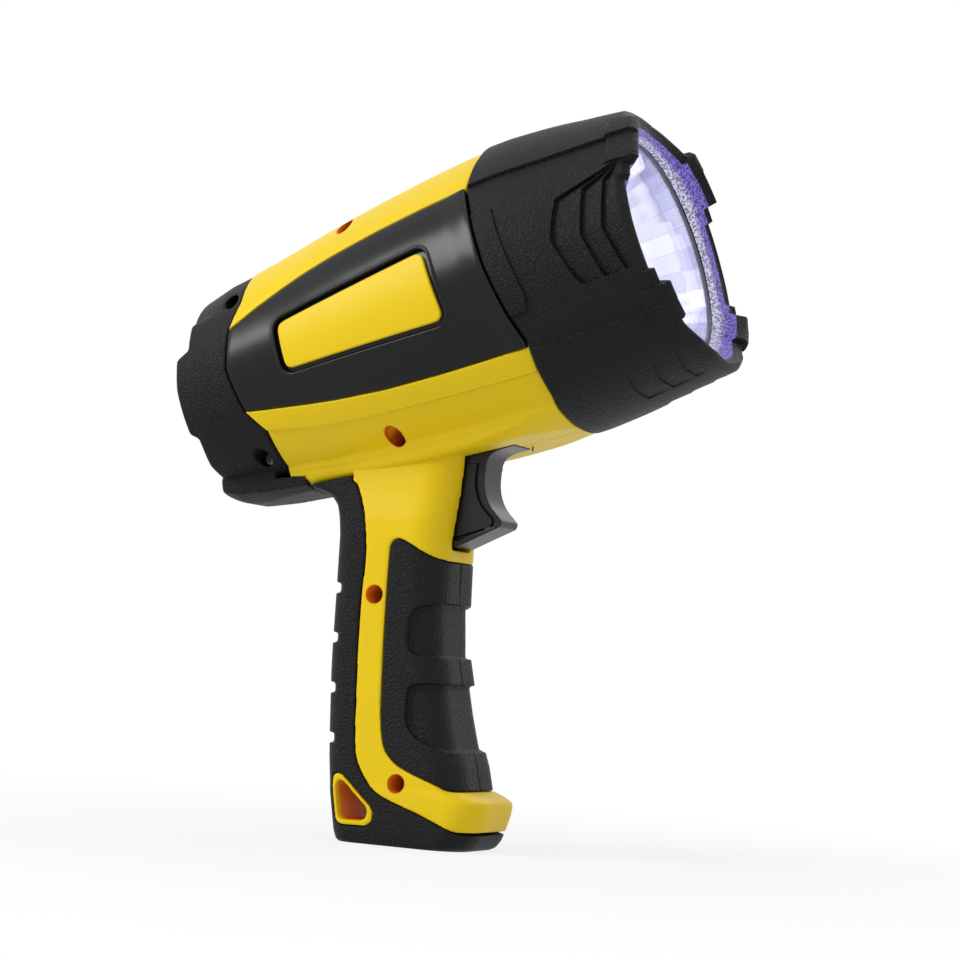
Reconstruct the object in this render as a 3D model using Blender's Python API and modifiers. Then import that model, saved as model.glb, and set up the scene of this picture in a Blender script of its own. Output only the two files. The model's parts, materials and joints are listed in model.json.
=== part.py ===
"""Rechargeable pistol-grip spotlight, with every separate piece at its real size.

The foot stands on z = 0 with the origin in its flat base. The beam points along +X and is tilted
upwards, and +Y is the holder's left. Pieces of the lamp head are placed by their station, which
is measured forward from the lens along the barrel's axis, and by their height above that axis.
"""

import math
from dataclasses import dataclass
from itertools import pairwise

import bmesh
import bpy
from mathutils import Matrix

MM = 0.001
COLLECTION_NAME = "rechargeable_spotlight"

# Clearances and how finely round pieces are cut
FIT = 0.3 * MM
OVERRUN = 6 * MM
WELD = 0.001 * MM
BARREL_SEGMENTS = 48
ROD_SEGMENTS = 16
CORNER_STEPS = 4

# Driving dimensions
BARREL_TILT = math.radians(18.8)
BARREL_LENGTH = 175 * MM
BARREL_RADIUS = 50 * MM
GRIP_HEIGHT = 100 * MM
GRIP_DEPTH = 40 * MM
GRIP_HALF_WIDTH = 19.5 * MM
WALL = 2.4 * MM

# Place of the lens: the barrel's belly keeps its height above the grip
LENS_REACH_SHARE = 0.464
BELLY_HEIGHT_SHARE = 1.25
BELLY_RADIUS_SHARE = 0.9752
LENS_REACH = LENS_REACH_SHARE * BARREL_LENGTH
BELLY_HEIGHT = BELLY_HEIGHT_SHARE * GRIP_HEIGHT + BELLY_RADIUS_SHARE * BARREL_RADIUS
LENS_HEIGHT = BELLY_HEIGHT + LENS_REACH * math.tan(BARREL_TILT)

# Barrel: stations as shares of its length, radii and heights as shares of its radius
BODY_PROFILE_SHARES = (
    (-0.914, 0.72), (-0.851, 0.748), (-0.771, 0.788), (-0.674, 0.844), (-0.6, 0.882),
    (-0.514, 0.92), (-0.429, 0.952), (-0.354, 0.974), (-0.274, 0.988), (-0.171, 0.992),
)
FRONT_JOINT_SHARES = ((-0.303, 1.2), (-0.32, 0.576), (-0.271, -0.55), (-0.287, -1.2))
REAR_JOINT_SHARES = (
    (-0.834, 1.2), (-0.837, 0.44), (-0.866, 0.264), (-0.883, 0), (-0.871, -0.292),
    (-0.846, -0.44), (-0.857, -0.72), (-0.869, -1.2),
)

# Sleeves of the casing under the end cap and under the bezel guard
CAP_SLEEVE_INSET = 2.25 * MM
CAP_SLEEVE_WALL = 2.4 * MM
CAP_SLEEVE_REAR_SHARE = -0.92
CAP_SLEEVE_ROOT_SHARE = -0.825
GUARD_SLEEVE_ROOT_INSET = 4.35 * MM
GUARD_SLEEVE_TIP_INSET = 5.5 * MM
GUARD_SLEEVE_ROOT_SHARE = -0.325

# Side panels and badges
PANEL_THICKNESS = 2.8 * MM
PANEL_BACKING = 2.2 * MM
PANEL_BACKING_MARGIN = 2.5 * MM
PANEL_UPPER_SHARES = (
    (-0.914, 0.2), (-0.866, 0.266), (-0.8, 0.36), (-0.743, 0.41), (-0.629, 0.486),
    (-0.514, 0.532), (-0.4, 0.564), (-0.2, 0.584),
)
PANEL_LOWER_SHARES = (
    (-0.914, -0.22), (-0.871, -0.296), (-0.8, -0.354), (-0.743, -0.398), (-0.629, -0.466),
    (-0.514, -0.508), (-0.4, -0.538), (-0.2, -0.558),
)
BADGE_THICKNESS = 1.3 * MM
BADGE_CORNER = 3.4 * MM
BADGE_GROOVE = 1.6 * MM
BADGE_CORNER_SHARES = ((-0.766, 0.166), (-0.418, 0.264), (-0.402, -0.252), (-0.766, -0.158))

# Bezel guard
GUARD_PROFILE_SHARES = (
    (0.013, 0.872), (0.006, 0.898), (-0.023, 0.91), (-0.046, 0.922), (-0.08, 0.938),
    (-0.114, 0.952), (-0.149, 0.97), (-0.189, 0.986), (-0.257, 1.004), (-0.36, 1.002),
)
GUARD_RIM_SHARES = (
    (-0.023, 0), (-0.021, 0.31), (-0.011, 0.34), (-0.011, 0.41), (0.009, 0.43),
    (0.009, 0.63), (-0.009, 0.67), (-0.014, 0.8), (-0.02, 1.2),
)
GUARD_SIDE_STEP = 1 * MM
GUARD_SIDE_UPPER_SHARES = (
    (-0.38, 0.586), (-0.12, 0.604), (-0.07, 0.59), (-0.035, 0.48), (-0.018, 0.42), (0.03, 0.42),
)
GUARD_RIM_THICKNESS = 1 * MM
GUARD_LIP_THICKNESS = 1.6 * MM

# End cap with its keel
CAP_WALL = 2.6 * MM
CAP_PROFILE_SHARES = (
    (-0.8, 0.76), (-0.857, 0.74), (-0.903, 0.724), (-0.96, 0.704), (-0.986, 0.684), (-0.997, 0.648),
)
CAP_RIM_SHARES = (
    (-0.949, 1.2), (-0.949, 0.27), (-0.983, 0.246), (-0.991, 0), (-0.997, -0.31),
    (-0.986, -0.34), (-0.98, -1.2),
)
CAP_FACE_SHARE = -0.949
CAP_FACE_RADIUS = 0.48 * BARREL_RADIUS
CAP_BOSS_RADIUS = 4.2 * MM
CAP_BOSS_LEFT = -13 * MM
CAP_BOSS_FLOOR = 2 * MM
KEEL_HALF_WIDTH = 15.5 * MM
KEEL_FRONT_SHARE = -1.05
KEEL_SHARES = (
    (KEEL_FRONT_SHARE, 1.36), (KEEL_FRONT_SHARE, 1.136), (-1.35, 1.11), (-1.61, 1.096),
    (-1.77, 1.102), (-1.95, 1.135), (-2.05, 1.18), (-1.8, 1.36),
)

# Handle: heights as shares of the grip's height, reaches as shares of its depth
HANDLE_STATION_SHARES = (
    # height, rear, front, half width
    (0, -0.565, 0.438, 0.903), (0.012, -0.59, 0.512, 0.954), (0.035, -0.61, 0.58, 0.979),
    (0.08, -0.63, 0.62, 0.995), (0.12, -0.647, 0.65, 1), (0.155, -0.662, 0.675, 1),
    (0.173, -0.67, 0.672, 0.995), (0.193, -0.677, 0.61, 0.985), (0.206, -0.682, 0.535, 0.974),
    (0.27, -0.703, 0.47, 0.964), (0.34, -0.718, 0.4, 0.954), (0.44, -0.733, 0.34, 0.949),
    (0.545, -0.747, 0.29, 0.944), (0.62, -0.753, 0.255, 0.944), (0.8, -0.755, 0.22, 0.944),
    (1, -0.76, 0.208, 0.944), (1.06, -0.78, 0.225, 0.949), (1.1, -0.81, 0.237, 0.949),
    (1.135, -0.87, 0.25, 0.949), (1.17, -1.025, 0.263, 0.949), (1.22, -1.25, 0.275, 0.949),
    (1.4, -1.25, 0.3, 0.949),
)
HANDLE_FLARE_SHARE = 1
HANDLE_TOP_SHARE = 1.4
HANDLE_REAR_CORNER = 7 * MM
HANDLE_FRONT_CORNER = 11 * MM
GRIP_THICKNESS = 2.4 * MM
FOOT_THICKNESS = 6.2 * MM
PALM_EDGE_SHARES = (
    (-0.615, 1.5), (-0.605, 1.21), (-0.535, 1.16), (-0.497, 1.12), (-0.472, 1.07), (-0.45, 1),
    (-0.445, 0.92), (-0.458, 0.8), (-0.455, 0.65), (-0.447, 0.55), (-0.432, 0.43), (-0.415, 0.33),
    (-0.39, 0.275), (-0.34, 0.235), (-0.275, 0.2), (-0.2, 0.173), (-0.11, 0.154), (0.015, 0.137),
    (0.14, 0.121), (0.265, 0.103), (0.375, 0.086), (0.5, 0.067), (0.6, 0.059), (1, 0.057),
)
FINGER_GRIP_SHARES = (
    (-0.235, 0.9), (-0.23, 0.965), (-0.215, 0.984), (-0.18, 0.996), (-0.135, 0.996),
    (-0.05, 0.982), (0.037, 0.962), (0.125, 0.944), (0.2, 0.934), (1, 0.932), (1, 0.207),
    (0.512, 0.204), (0.463, 0.196), (0.4, 0.197), (0.338, 0.206), (0.24, 0.22), (0.115, 0.237),
    (-0.01, 0.258), (-0.085, 0.28), (-0.148, 0.31), (-0.18, 0.35), (-0.205, 0.42), (-0.217, 0.5),
    (-0.227, 0.62), (-0.235, 0.78),
)
FINGER_GROOVE_DEPTH = 1.3 * MM
UPPER_GROOVE_SHARES = (
    (0.005, 0.634), (-0.015, 0.66), (-0.017, 0.73), (0.01, 0.766), (0.075, 0.78), (0.225, 0.798),
    (1, 0.803), (1, 0.618), (0.15, 0.62), (0.05, 0.622),
)
LOWER_GROOVE_SHARES = (
    (0.02, 0.506), (0.015, 0.42), (0.045, 0.385), (0.125, 0.353), (0.25, 0.33), (0.375, 0.317),
    (0.5, 0.32), (1, 0.332), (1, 0.544), (0.25, 0.532), (0.1, 0.529), (0.045, 0.522),
)
PALM_NOTCH_COUNT = 4
PALM_NOTCH_HEIGHT = 3.2 * MM
PALM_NOTCH_DEPTH = 1.8 * MM
PALM_NOTCH_FIRST_SHARE = 0.334
PALM_NOTCH_PITCH_SHARE = 0.164
EYE_HOLE_SHARE = 0.72
EYE_RIM_RISE = 0.3 * MM
EYE_SHARES = (
    (-0.597, 0.196), (-0.585, 0.214), (-0.547, 0.222), (-0.503, 0.216), (-0.225, 0.122),
    (-0.2, 0.104), (-0.208, 0.076), (-0.255, 0.06), (-0.47, 0.057), (-0.517, 0.062), (-0.542, 0.076),
)

# Trigger and its hinge
TRIGGER_HALF_WIDTH = 6 * MM
TRIGGER_PLATE_HALF_WIDTH = 7 * MM
TRIGGER_ARM_HALF_WIDTH = 3.4 * MM
TRIGGER_PLATE_THICKNESS = 2 * MM
TRIGGER_SLOT_CLEARANCE = 0.6 * MM
TRIGGER_PULL_ROOM = 4.5 * MM
TRIGGER_SLOT_FRONT_SHARE = 0.82
TRIGGER_REAR_SHARE = 0.1625
TRIGGER_FRONT_SHARES = (
    (0.44, 1.27), (0.437, 1.21), (0.475, 1.14), (0.535, 1.095), (0.612, 1.062), (0.59, 1.035),
)
TRIGGER_HEEL_SHARES = ((0.24, 0.979), (TRIGGER_REAR_SHARE, 0.979))
TRIGGER_SHOULDER_SHARES = ((TRIGGER_REAR_SHARE, 1.27), (0.44, 1.29))
TRIGGER_ARM_SHARES = (
    (TRIGGER_REAR_SHARE, 1.25), (0.43, 1.25), (0.463, 1.283), (0.525, 1.303), (0.65, 1.318),
    (0.775, 1.329), (0.785, 1.36), (0.75, 1.41), (0.6, 1.42), (0.36, 1.36),
    (TRIGGER_REAR_SHARE, 1.31),
)
PIVOT_SHARES = (0.675, 1.375)
PIVOT_HUB_RADIUS = 4 * MM
PIN_RADIUS = 1.5 * MM
PIN_BOSS_RADIUS = 3.6 * MM
PIN_BOSS_THICKNESS = 3.6 * MM
SPRING_WIRE_RADIUS = 0.3 * MM
SPRING_COIL_RADIUS = 2.6 * MM
SPRING_TURNS = 2.5
SPRING_LEG = 6 * MM
SPRING_POINTS_PER_TURN = 10

# Switch behind the trigger
SWITCH_HEIGHT = 19.8 * MM
SWITCH_DEPTH = 10.2 * MM
SWITCH_HALF_WIDTH = 3.2 * MM
SWITCH_SETBACK = 6.1 * MM
SWITCH_BASE_SHARE = 1.04
SWITCH_POST_RADIUS = 3 * MM
SWITCH_POST_SHARES = (0.25, 0.75)
LEVER_THICKNESS = 0.8 * MM
LEVER_HALF_WIDTH = 2.4 * MM
LEVER_LENGTH = 14 * MM
LEVER_HUB_RADIUS = 0.8 * MM
LEVER_HEIGHT_SHARE = 0.25
LEVER_LEAN = math.radians(10.1)
LEVER_TOUCH_SHARE = 0.786
NUB_RADIUS = 1.5 * MM

# Screws, all driven from the right side
SCREW_HEAD_RADIUS = 2.5 * MM
SCREW_HEAD_HEIGHT = 1.8 * MM
SCREW_SHANK_RADIUS = 1.25 * MM
SCREW_RECESS_RADIUS = 3.1 * MM
SCREW_POST_RADIUS = 4.6 * MM
SCREW_SEAT = 6 * MM
SCREW_REACH = 10 * MM
BARREL_SCREW_STATION_SHARE = -0.609
BARREL_SCREW_HEIGHT_SHARE = 0.73
HANDLE_SCREW_SHARES = ((-0.339, 0.81), (-0.014, 0.203))
CAP_SCREW_SHARES = ((-0.867, 0.486), (-0.888, -0.572))
CAP_SCREW_RECESS_RADIUS = 2.7 * MM
CAP_SCREW_HEAD_RADIUS = 2.3 * MM
CAP_SCREW_POST_RADIUS = 3.4 * MM
CAP_SCREW_POST_LENGTH = 10 * MM
CAP_SCREW_WEB = 2.4 * MM
CAP_SCREW_LENGTH = 9 * MM

# Lamp
LENS_CLEARANCE = 0.7 * MM
LENS_THICKNESS = 2.3 * MM
LENS_FACE_STATION_SHARE = -0.051
GASKET_THICKNESS = 0.9 * MM
GASKET_WIDTH = 4.6 * MM
LENS_SEAT = 5 * MM
REFLECTOR_NECK_RADIUS = 5 * MM
REFLECTOR_WALL = 1.6 * MM
REFLECTOR_FLANGE = 1.7 * MM
REFLECTOR_STEPS = 9
LED_BOARD_RADIUS = 0.35 * BARREL_RADIUS
LED_BOARD_THICKNESS = 1.6 * MM
EMITTER_RADIUS = 3.6 * MM
EMITTER_HEIGHT = 6 * MM
SINK_RADIUS = 0.43 * BARREL_RADIUS
SINK_GAP = 2.75 * MM
SINK_PLATE = 3 * MM
SINK_FIN_COUNT = 5
SINK_FIN_PITCH = 0.16 * BARREL_RADIUS
SINK_FIN_THICKNESS = 1.6 * MM
SINK_FIN_DEPTH = 9 * MM
SINK_FIN_HALF_HEIGHT = 0.24 * BARREL_RADIUS
BULKHEAD_THICKNESS = 2.4 * MM

# Battery pack and electronics
CELL_COUNT = 3
CELL_RADIUS = 0.184 * BARREL_RADIUS
CELL_LENGTH = 0.3714 * BARREL_LENGTH
CELL_SPACE = 0.8 * MM
CELL_PITCH = 2 * CELL_RADIUS + CELL_SPACE
CELL_REAR_SHARE = -0.809
CELL_HEIGHT = 0.04 * BARREL_RADIUS
CELL_TERMINAL_RADIUS = 3 * MM
CELL_TERMINAL_HEIGHT = 0.8 * MM
CRADLE_BASE = 4 * MM
CRADLE_END = 2 * MM
CRADLE_RISE = CELL_RADIUS + FIT
CRADLE_POST_RADIUS = 2.2 * MM
CRADLE_POST_PLACE = 0.36 * BARREL_RADIUS
RAIL_THICKNESS = 2.6 * MM
RAIL_INNER = 0.44 * BARREL_RADIUS
BOARD_THICKNESS = 1.6 * MM
BOARD_HALF_WIDTH = 0.44 * BARREL_RADIUS
BOARD_HALF_HEIGHT = 0.32 * BARREL_RADIUS
BOARD_STATION_SHARE = -0.895
SOCKET_RADIUS = 5.5 * MM
SOCKET_BORE_RADIUS = 3 * MM
SOCKET_PIN_RADIUS = 0.9 * MM
SOCKET_BORE_DEPTH = 7 * MM
SOCKET_PIN_SETBACK = 1 * MM
SOCKET_HEIGHT = -4 * MM
SOCKET_STAND = 1.4 * MM
COVER_RADIUS = 8.4 * MM
COVER_THICKNESS = 2 * MM
COVER_KNUCKLE_RADIUS = 1.5 * MM
COVER_KNUCKLE_HALF_WIDTH = 4 * MM
COVER_HINGE_RISE = 10.4 * MM
COVER_EAR_THICKNESS = 2 * MM
COVER_EAR_DEPTH = 3.4 * MM
INDICATOR_RADIUS = 2 * MM
INDICATOR_LENGTH = 5 * MM
INDICATOR_LEFT = 0.3 * BARREL_RADIUS
LEAD_RADIUS = 1.1 * MM
LEAD_SIDE = 4 * MM
LEAD_CLEARANCE = 2.4 * MM
LEAD_HEIGHT = CELL_HEIGHT + CRADLE_RISE + LEAD_CLEARANCE + LEAD_RADIUS
LEAD_HOLE_RADIUS = 1.7 * MM
BATTERY_LEAD_HEIGHT = 6 * MM
SWITCH_LEAD_DROP = 2.5 * MM
SWITCH_LEAD_SAG = 3 * MM
SWITCH_LEAD_PASS = 2.6 * MM

for leftover in list(bpy.data.objects):
    bpy.data.objects.remove(leftover)
parts = bpy.data.collections.new(COLLECTION_NAME)
cutters = bpy.data.collections.new("cutters")
for collection in (parts, cutters):
    bpy.context.scene.collection.children.link(collection)


@dataclass(frozen=True)
class Frames:
    """Empties that the pieces are modelled in: X and Y of a side frame lie in the side view."""

    foot: bpy.types.Object
    side: bpy.types.Object
    barrel: bpy.types.Object
    axis: bpy.types.Object


@dataclass(frozen=True)
class Finishes:
    """The finishes that several pieces share."""

    yellow: bpy.types.Material
    rubber: bpy.types.Material
    gloss: bpy.types.Material
    steel: bpy.types.Material
    board: bpy.types.Material
    dark: bpy.types.Material


def station(share):
    """Distance along the barrel's axis from the lens, as a share of the barrel's length."""
    return share * BARREL_LENGTH


def barrel_points(shares):
    """Side-view points of the barrel from shares of its length and radius."""
    return [(along * BARREL_LENGTH, up * BARREL_RADIUS) for along, up in shares]


def handle_points(shares):
    """Side-view points of the handle from shares of the grip's depth and height."""
    return [(reach * GRIP_DEPTH, up * GRIP_HEIGHT) for reach, up in shares]


def mirrored(points):
    """Side-view points reflected below the barrel's axis."""
    return [(along, -up) for along, up in reversed(points)]


def moved(points, along):
    """Side-view points moved along the first axis."""
    return [(x + along, y) for x, y in points]


def between(table, value):
    """Row of a table, sorted by its first column, at a value of that column."""
    for low, high in pairwise(table):
        if value <= high[0] or high is table[-1]:
            share = (value - low[0]) / (high[0] - low[0])
            return [a + (b - a) * share for a, b in zip(low, high)]


def grown(outline, distance):
    """A closed outline moved outwards by a distance, or inwards by a negative one."""
    turns = sum(ax * by - bx * ay for (ax, ay), (bx, by) in pairwise(outline + outline[:1]))
    side = distance * math.copysign(1, turns)
    result = []
    for i, (x, y) in enumerate(outline):
        before, after = outline[i - 1], outline[(i + 1) % len(outline)]
        angles = [math.atan2(y - before[1], x - before[0]), math.atan2(after[1] - y, after[0] - x)]
        bend = math.remainder(angles[1] - angles[0], math.tau)
        middle = angles[0] + bend / 2
        reach = side / max(math.cos(bend / 2), 0.4)
        result.append((x + reach * math.sin(middle), y - reach * math.cos(middle)))
    return result


def rounded(outline, radius):
    """A closed outline with an arc at each corner."""
    result = []
    for i, corner in enumerate(outline):
        before, after = outline[i - 1], outline[(i + 1) % len(outline)]
        into = math.atan2(corner[1] - before[1], corner[0] - before[0])
        out = math.atan2(after[1] - corner[1], after[0] - corner[0])
        bend = math.remainder(out - into, math.tau)
        setback = radius * math.tan(abs(bend) / 2)
        side = math.copysign(1, bend)
        start = (corner[0] - setback * math.cos(into), corner[1] - setback * math.sin(into))
        centre = (start[0] - side * radius * math.sin(into), start[1] + side * radius * math.cos(into))
        for step in range(CORNER_STEPS + 1):
            angle = into + bend * step / CORNER_STEPS
            result.append(
                (
                    centre[0] + side * radius * math.sin(angle),
                    centre[1] - side * radius * math.cos(angle),
                )
            )
    return result


def add_empty(name, matrix):
    """An empty that carries the pieces modelled in its frame."""
    empty = bpy.data.objects.new(name, None)
    empty.matrix_world = matrix
    parts.objects.link(empty)
    return empty


def add_stock(name, data, frame):
    """An object in a frame, kept as a cutter until it is made a part."""
    stock = bpy.data.objects.new(name, data)
    cutters.objects.link(stock)
    stock.parent = frame
    stock.hide_render = True
    stock.display_type = "WIRE"
    return stock


def baked(obj, name=None):
    """The object as Blender evaluates it, as a plain welded mesh with its normals outwards."""
    graph = bpy.context.evaluated_depsgraph_get()
    graph.update()
    mesh = bpy.data.meshes.new_from_object(obj.evaluated_get(graph))
    shape = bmesh.new()
    shape.from_mesh(mesh)
    bmesh.ops.remove_doubles(shape, verts=shape.verts, dist=WELD)
    bmesh.ops.recalc_face_normals(shape, faces=shape.faces)
    shape.to_mesh(mesh)
    shape.free()
    if obj.type == "MESH" and name is None:
        obj.modifiers.clear()
        obj.data = mesh
        return obj
    solid = add_stock(name or obj.name, mesh, obj.parent)
    solid.matrix_basis = obj.matrix_basis
    solid.matrix_parent_inverse = obj.matrix_parent_inverse
    if obj.type == "CURVE":
        bpy.data.objects.remove(obj)
    return solid


def combined(target, operation, *tools):
    """The target after a Boolean with each tool in turn."""
    for tool in tools:
        modifier = target.modifiers.new(operation.lower(), "BOOLEAN")
        modifier.operation = operation
        modifier.solver = "EXACT"
        modifier.object = tool
        baked(target)
    return target


def joined(target, *tools):
    return combined(target, "UNION", *tools)


def cut(target, *tools):
    return combined(target, "DIFFERENCE", *tools)


def kept(target, *tools):
    return combined(target, "INTERSECT", *tools)


def turned(name, profile, frame, segments=BARREL_SEGMENTS):
    """A solid of revolution about the frame's Z axis, from a profile of (station, radius)."""
    mesh = bpy.data.meshes.new(name)
    closed = profile[0][1] > 0
    edges = list(pairwise(range(len(profile)))) + ([(len(profile) - 1, 0)] if closed else [])
    mesh.from_pydata([(radius, 0, along) for along, radius in profile], edges, [])
    solid = add_stock(name, mesh, frame)
    screw = solid.modifiers.new("turn", "SCREW")
    screw.axis = "Z"
    screw.steps = screw.render_steps = segments
    screw.use_merge_vertices = True
    screw.merge_threshold = WELD
    return baked(solid)


def plate(name, outline, frame, left, right):
    """A side-view outline as a solid that runs across the object, from left to right."""
    curve = bpy.data.curves.new(name, "CURVE")
    curve.dimensions = "2D"
    curve.fill_mode = "BOTH"
    curve.extrude = (left - right) / 2
    spline = curve.splines.new("POLY")
    spline.points.add(len(outline) - 1)
    for point, (x, y) in zip(spline.points, outline):
        point.co = (x, y, 0, 1)
    spline.use_cyclic_u = True
    shape = add_stock(name, curve, frame)
    shape.location.z = -(left + right) / 2
    return baked(shape)


def wide_plate(name, outline, frame):
    """A side-view outline as a solid that runs past both sides of the object."""
    return plate(name, outline, frame, BARREL_RADIUS + OVERRUN, -BARREL_RADIUS - OVERRUN)


def rod(name, place, radius, frame, left, right, segments=ROD_SEGMENTS):
    """A round rod across the object at a side-view place, from left to right."""
    shape = bmesh.new()
    bmesh.ops.create_cone(
        shape, cap_ends=True, segments=segments, radius1=radius, radius2=radius, depth=left - right
    )
    mesh = bpy.data.meshes.new(name)
    shape.to_mesh(mesh)
    shape.free()
    solid = add_stock(name, mesh, frame)
    solid.location = (*place, -(left + right) / 2)
    return solid


def block(name, rear, front, base, top, left, right, frame):
    """A box in a side-view frame."""
    return plate(name, [(rear, base), (front, base), (front, top), (rear, top)], frame, left, right)


def tube(name, points, radius, frame, resolution=1):
    """A round wire along a list of points in a frame."""
    curve = bpy.data.curves.new(name, "CURVE")
    curve.dimensions = "3D"
    curve.bevel_depth = radius
    curve.bevel_resolution = resolution
    curve.use_fill_caps = True
    spline = curve.splines.new("POLY")
    spline.points.add(len(points) - 1)
    for point, place in zip(spline.points, points):
        point.co = (*place, 1)
    return baked(add_stock(name, curve, frame))


def eased(points, steps=3):
    """A smooth run of points through the given ones."""
    result = []
    for i, (start, end) in enumerate(pairwise(points)):
        before = points[max(i - 1, 0)]
        after = points[min(i + 2, len(points) - 1)]
        for step in range(steps):
            t = step / steps
            result.append(
                tuple(
                    b + t * (c - a + t * (2 * a - 5 * b + 4 * c - d + t * (3 * b - 3 * c + d - a))) / 2
                    for a, b, c, d in zip(before, start, end, after)
                )
            )
    return [*result, tuple(points[-1])]


def copied(obj, name):
    """A second object with its own copy of the mesh."""
    twin = add_stock(name, obj.data.copy(), obj.parent)
    twin.matrix_basis = obj.matrix_basis
    return twin


def material(name, colour, roughness, metallic=0.0):
    """A Principled finish."""
    finish = bpy.data.materials.new(name)
    finish.use_nodes = True
    shader = finish.node_tree.nodes["Principled BSDF"]
    shader.inputs["Base Color"].default_value = (*colour, 1)
    shader.inputs["Roughness"].default_value = roughness
    shader.inputs["Metallic"].default_value = metallic
    finish.diffuse_color = (*colour, 1)
    return finish


def add_part(name, stock, finish, hinge=None):
    """Make a finished solid one of the object's parts."""
    stock.name = name
    cutters.objects.unlink(stock)
    parts.objects.link(stock)
    stock.hide_render = False
    stock.display_type = "TEXTURED"
    stock.data.name = name
    stock.data.materials.clear()
    stock.data.materials.append(finish)
    stock.data.shade_smooth()
    stock.data.set_sharp_from_angle(angle=math.radians(30))
    if hinge:
        bpy.context.view_layer.update()
        world = stock.matrix_world.copy()
        stock.parent = hinge
        stock.matrix_parent_inverse = hinge.matrix_world.inverted()
        stock.matrix_basis = world
    return stock


def body_profile(grow, rear, front):
    """The casing's barrel between two stations, as (station, radius) grown by a distance."""
    table = barrel_points(BODY_PROFILE_SHARES)
    places = [rear, *(along for along, _ in table if rear < along < front), front]
    return [(along, between(table, along)[1] + grow) for along in places]


def barrel_stock(name, grow, frame, rear=None, front=None):
    """The solid barrel of the casing, grown by a distance."""
    table = barrel_points(BODY_PROFILE_SHARES)
    rear = table[0][0] if rear is None else rear
    front = table[-1][0] if front is None else front
    return turned(name, [(rear, 0), *body_profile(grow, rear, front), (front, 0)], frame)


def barrel_shell(name, outer, inner, frame):
    """A layer of the casing's barrel between two depths below its surface."""
    table = barrel_points(BODY_PROFILE_SHARES)
    rear, front = table[0][0], table[-1][0]
    outside = body_profile(-outer, rear, front)
    inside = body_profile(-inner, rear, front)
    return turned(name, [*outside, *reversed(inside)], frame)


def handle_section(height, inset, flared):
    """Corners of the handle's section at a height: rear, front and half width."""
    table = [
        (up * GRIP_HEIGHT, rear * GRIP_DEPTH, front * GRIP_DEPTH, wide * GRIP_HALF_WIDTH)
        for up, rear, front, wide in HANDLE_STATION_SHARES
    ]
    _, rear, front, half_width = between(table, height)
    if not flared and height > HANDLE_FLARE_SHARE * GRIP_HEIGHT:
        rear = between(table, HANDLE_FLARE_SHARE * GRIP_HEIGHT)[1]
    return rear + inset, front - inset, half_width - inset


def handle_ring(height, inset, flared):
    """One rounded section of the handle as a ring of points."""
    rear, front, half_width = handle_section(height, inset, flared)
    corners = (
        (rear, -half_width, HANDLE_REAR_CORNER, math.pi),
        (front, -half_width, HANDLE_FRONT_CORNER, 1.5 * math.pi),
        (front, half_width, HANDLE_FRONT_CORNER, 0),
        (rear, half_width, HANDLE_REAR_CORNER, 0.5 * math.pi),
    )
    ring = []
    for x, y, full_radius, start in corners:
        radius = full_radius - inset
        centre_x = x - math.copysign(radius, x - (rear + front) / 2)
        centre_y = y - math.copysign(radius, y)
        for step in range(CORNER_STEPS + 1):
            angle = start + math.pi / 2 * step / CORNER_STEPS
            ring.append(
                (centre_x + radius * math.cos(angle), centre_y + radius * math.sin(angle), height)
            )
    return ring


def handle_stock(name, inset, bottom, frame, flared=True):
    """The handle as a solid lofted through its sections, from a bottom height upwards."""
    top = HANDLE_TOP_SHARE * GRIP_HEIGHT
    heights = [row[0] * GRIP_HEIGHT for row in HANDLE_STATION_SHARES]
    heights = [bottom, *(height for height in heights if bottom < height < top), top]
    shape = bmesh.new()
    rings = [
        [shape.verts.new(point) for point in handle_ring(height, inset, flared)] for height in heights
    ]
    for low, high in pairwise(rings):
        for i, corner in enumerate(low):
            j = (i + 1) % len(low)
            shape.faces.new((corner, low[j], high[j], high[i]))
    shape.faces.new(reversed(rings[0]))
    shape.faces.new(rings[-1])
    mesh = bpy.data.meshes.new(name)
    shape.to_mesh(mesh)
    shape.free()
    return baked(add_stock(name, mesh, frame))


def palm_region():
    """Side-view region of the palm strap and the foot, behind and below the yellow stripe."""
    edge = handle_points(PALM_EDGE_SHARES)
    far_front, far_rear = edge[-1][0], -2 * GRIP_DEPTH
    return [*edge, (far_front, -OVERRUN), (far_rear, -OVERRUN), (far_rear, edge[0][1])]


def body_region():
    """Side-view region of the casing's barrel between its two joints."""
    return [*barrel_points(FRONT_JOINT_SHARES), *reversed(barrel_points(REAR_JOINT_SHARES))]


def panel_region():
    """Side-view region of a side panel, run past both joints."""
    return [*barrel_points(PANEL_UPPER_SHARES), *reversed(barrel_points(PANEL_LOWER_SHARES))]


def cap_sleeve_radius():
    """Outer radius of the casing's sleeve under the end cap."""
    rear = station(CAP_SLEEVE_REAR_SHARE)
    table = sorted(barrel_points(CAP_PROFILE_SHARES))
    return between(table, rear)[1] - CAP_SLEEVE_INSET


def guard_sleeve_radii():
    """Outer radius of the casing's sleeve under the bezel guard, at its root and at its tip."""
    root, tip = station(GUARD_SLEEVE_ROOT_SHARE), lens_stations()["sleeve_tip"]
    body = between(barrel_points(BODY_PROFILE_SHARES), root)[1]
    guard = between(sorted(barrel_points(GUARD_PROFILE_SHARES)), tip)[1]
    return body - GUARD_SLEEVE_ROOT_INSET, guard - GUARD_SLEEVE_TIP_INSET


def lens_radius():
    """Radius of the lens, which the sleeve's tip carries."""
    return guard_sleeve_radii()[1] - LENS_CLEARANCE


def mouth_radius():
    """Clear radius of the reflector's mouth and of the guard's lip."""
    return lens_radius() - LENS_SEAT


def guard_mouth_radius():
    """Inner radius of the guard at its front."""
    return GUARD_PROFILE_SHARES[0][1] * BARREL_RADIUS - GUARD_RIM_THICKNESS


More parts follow.
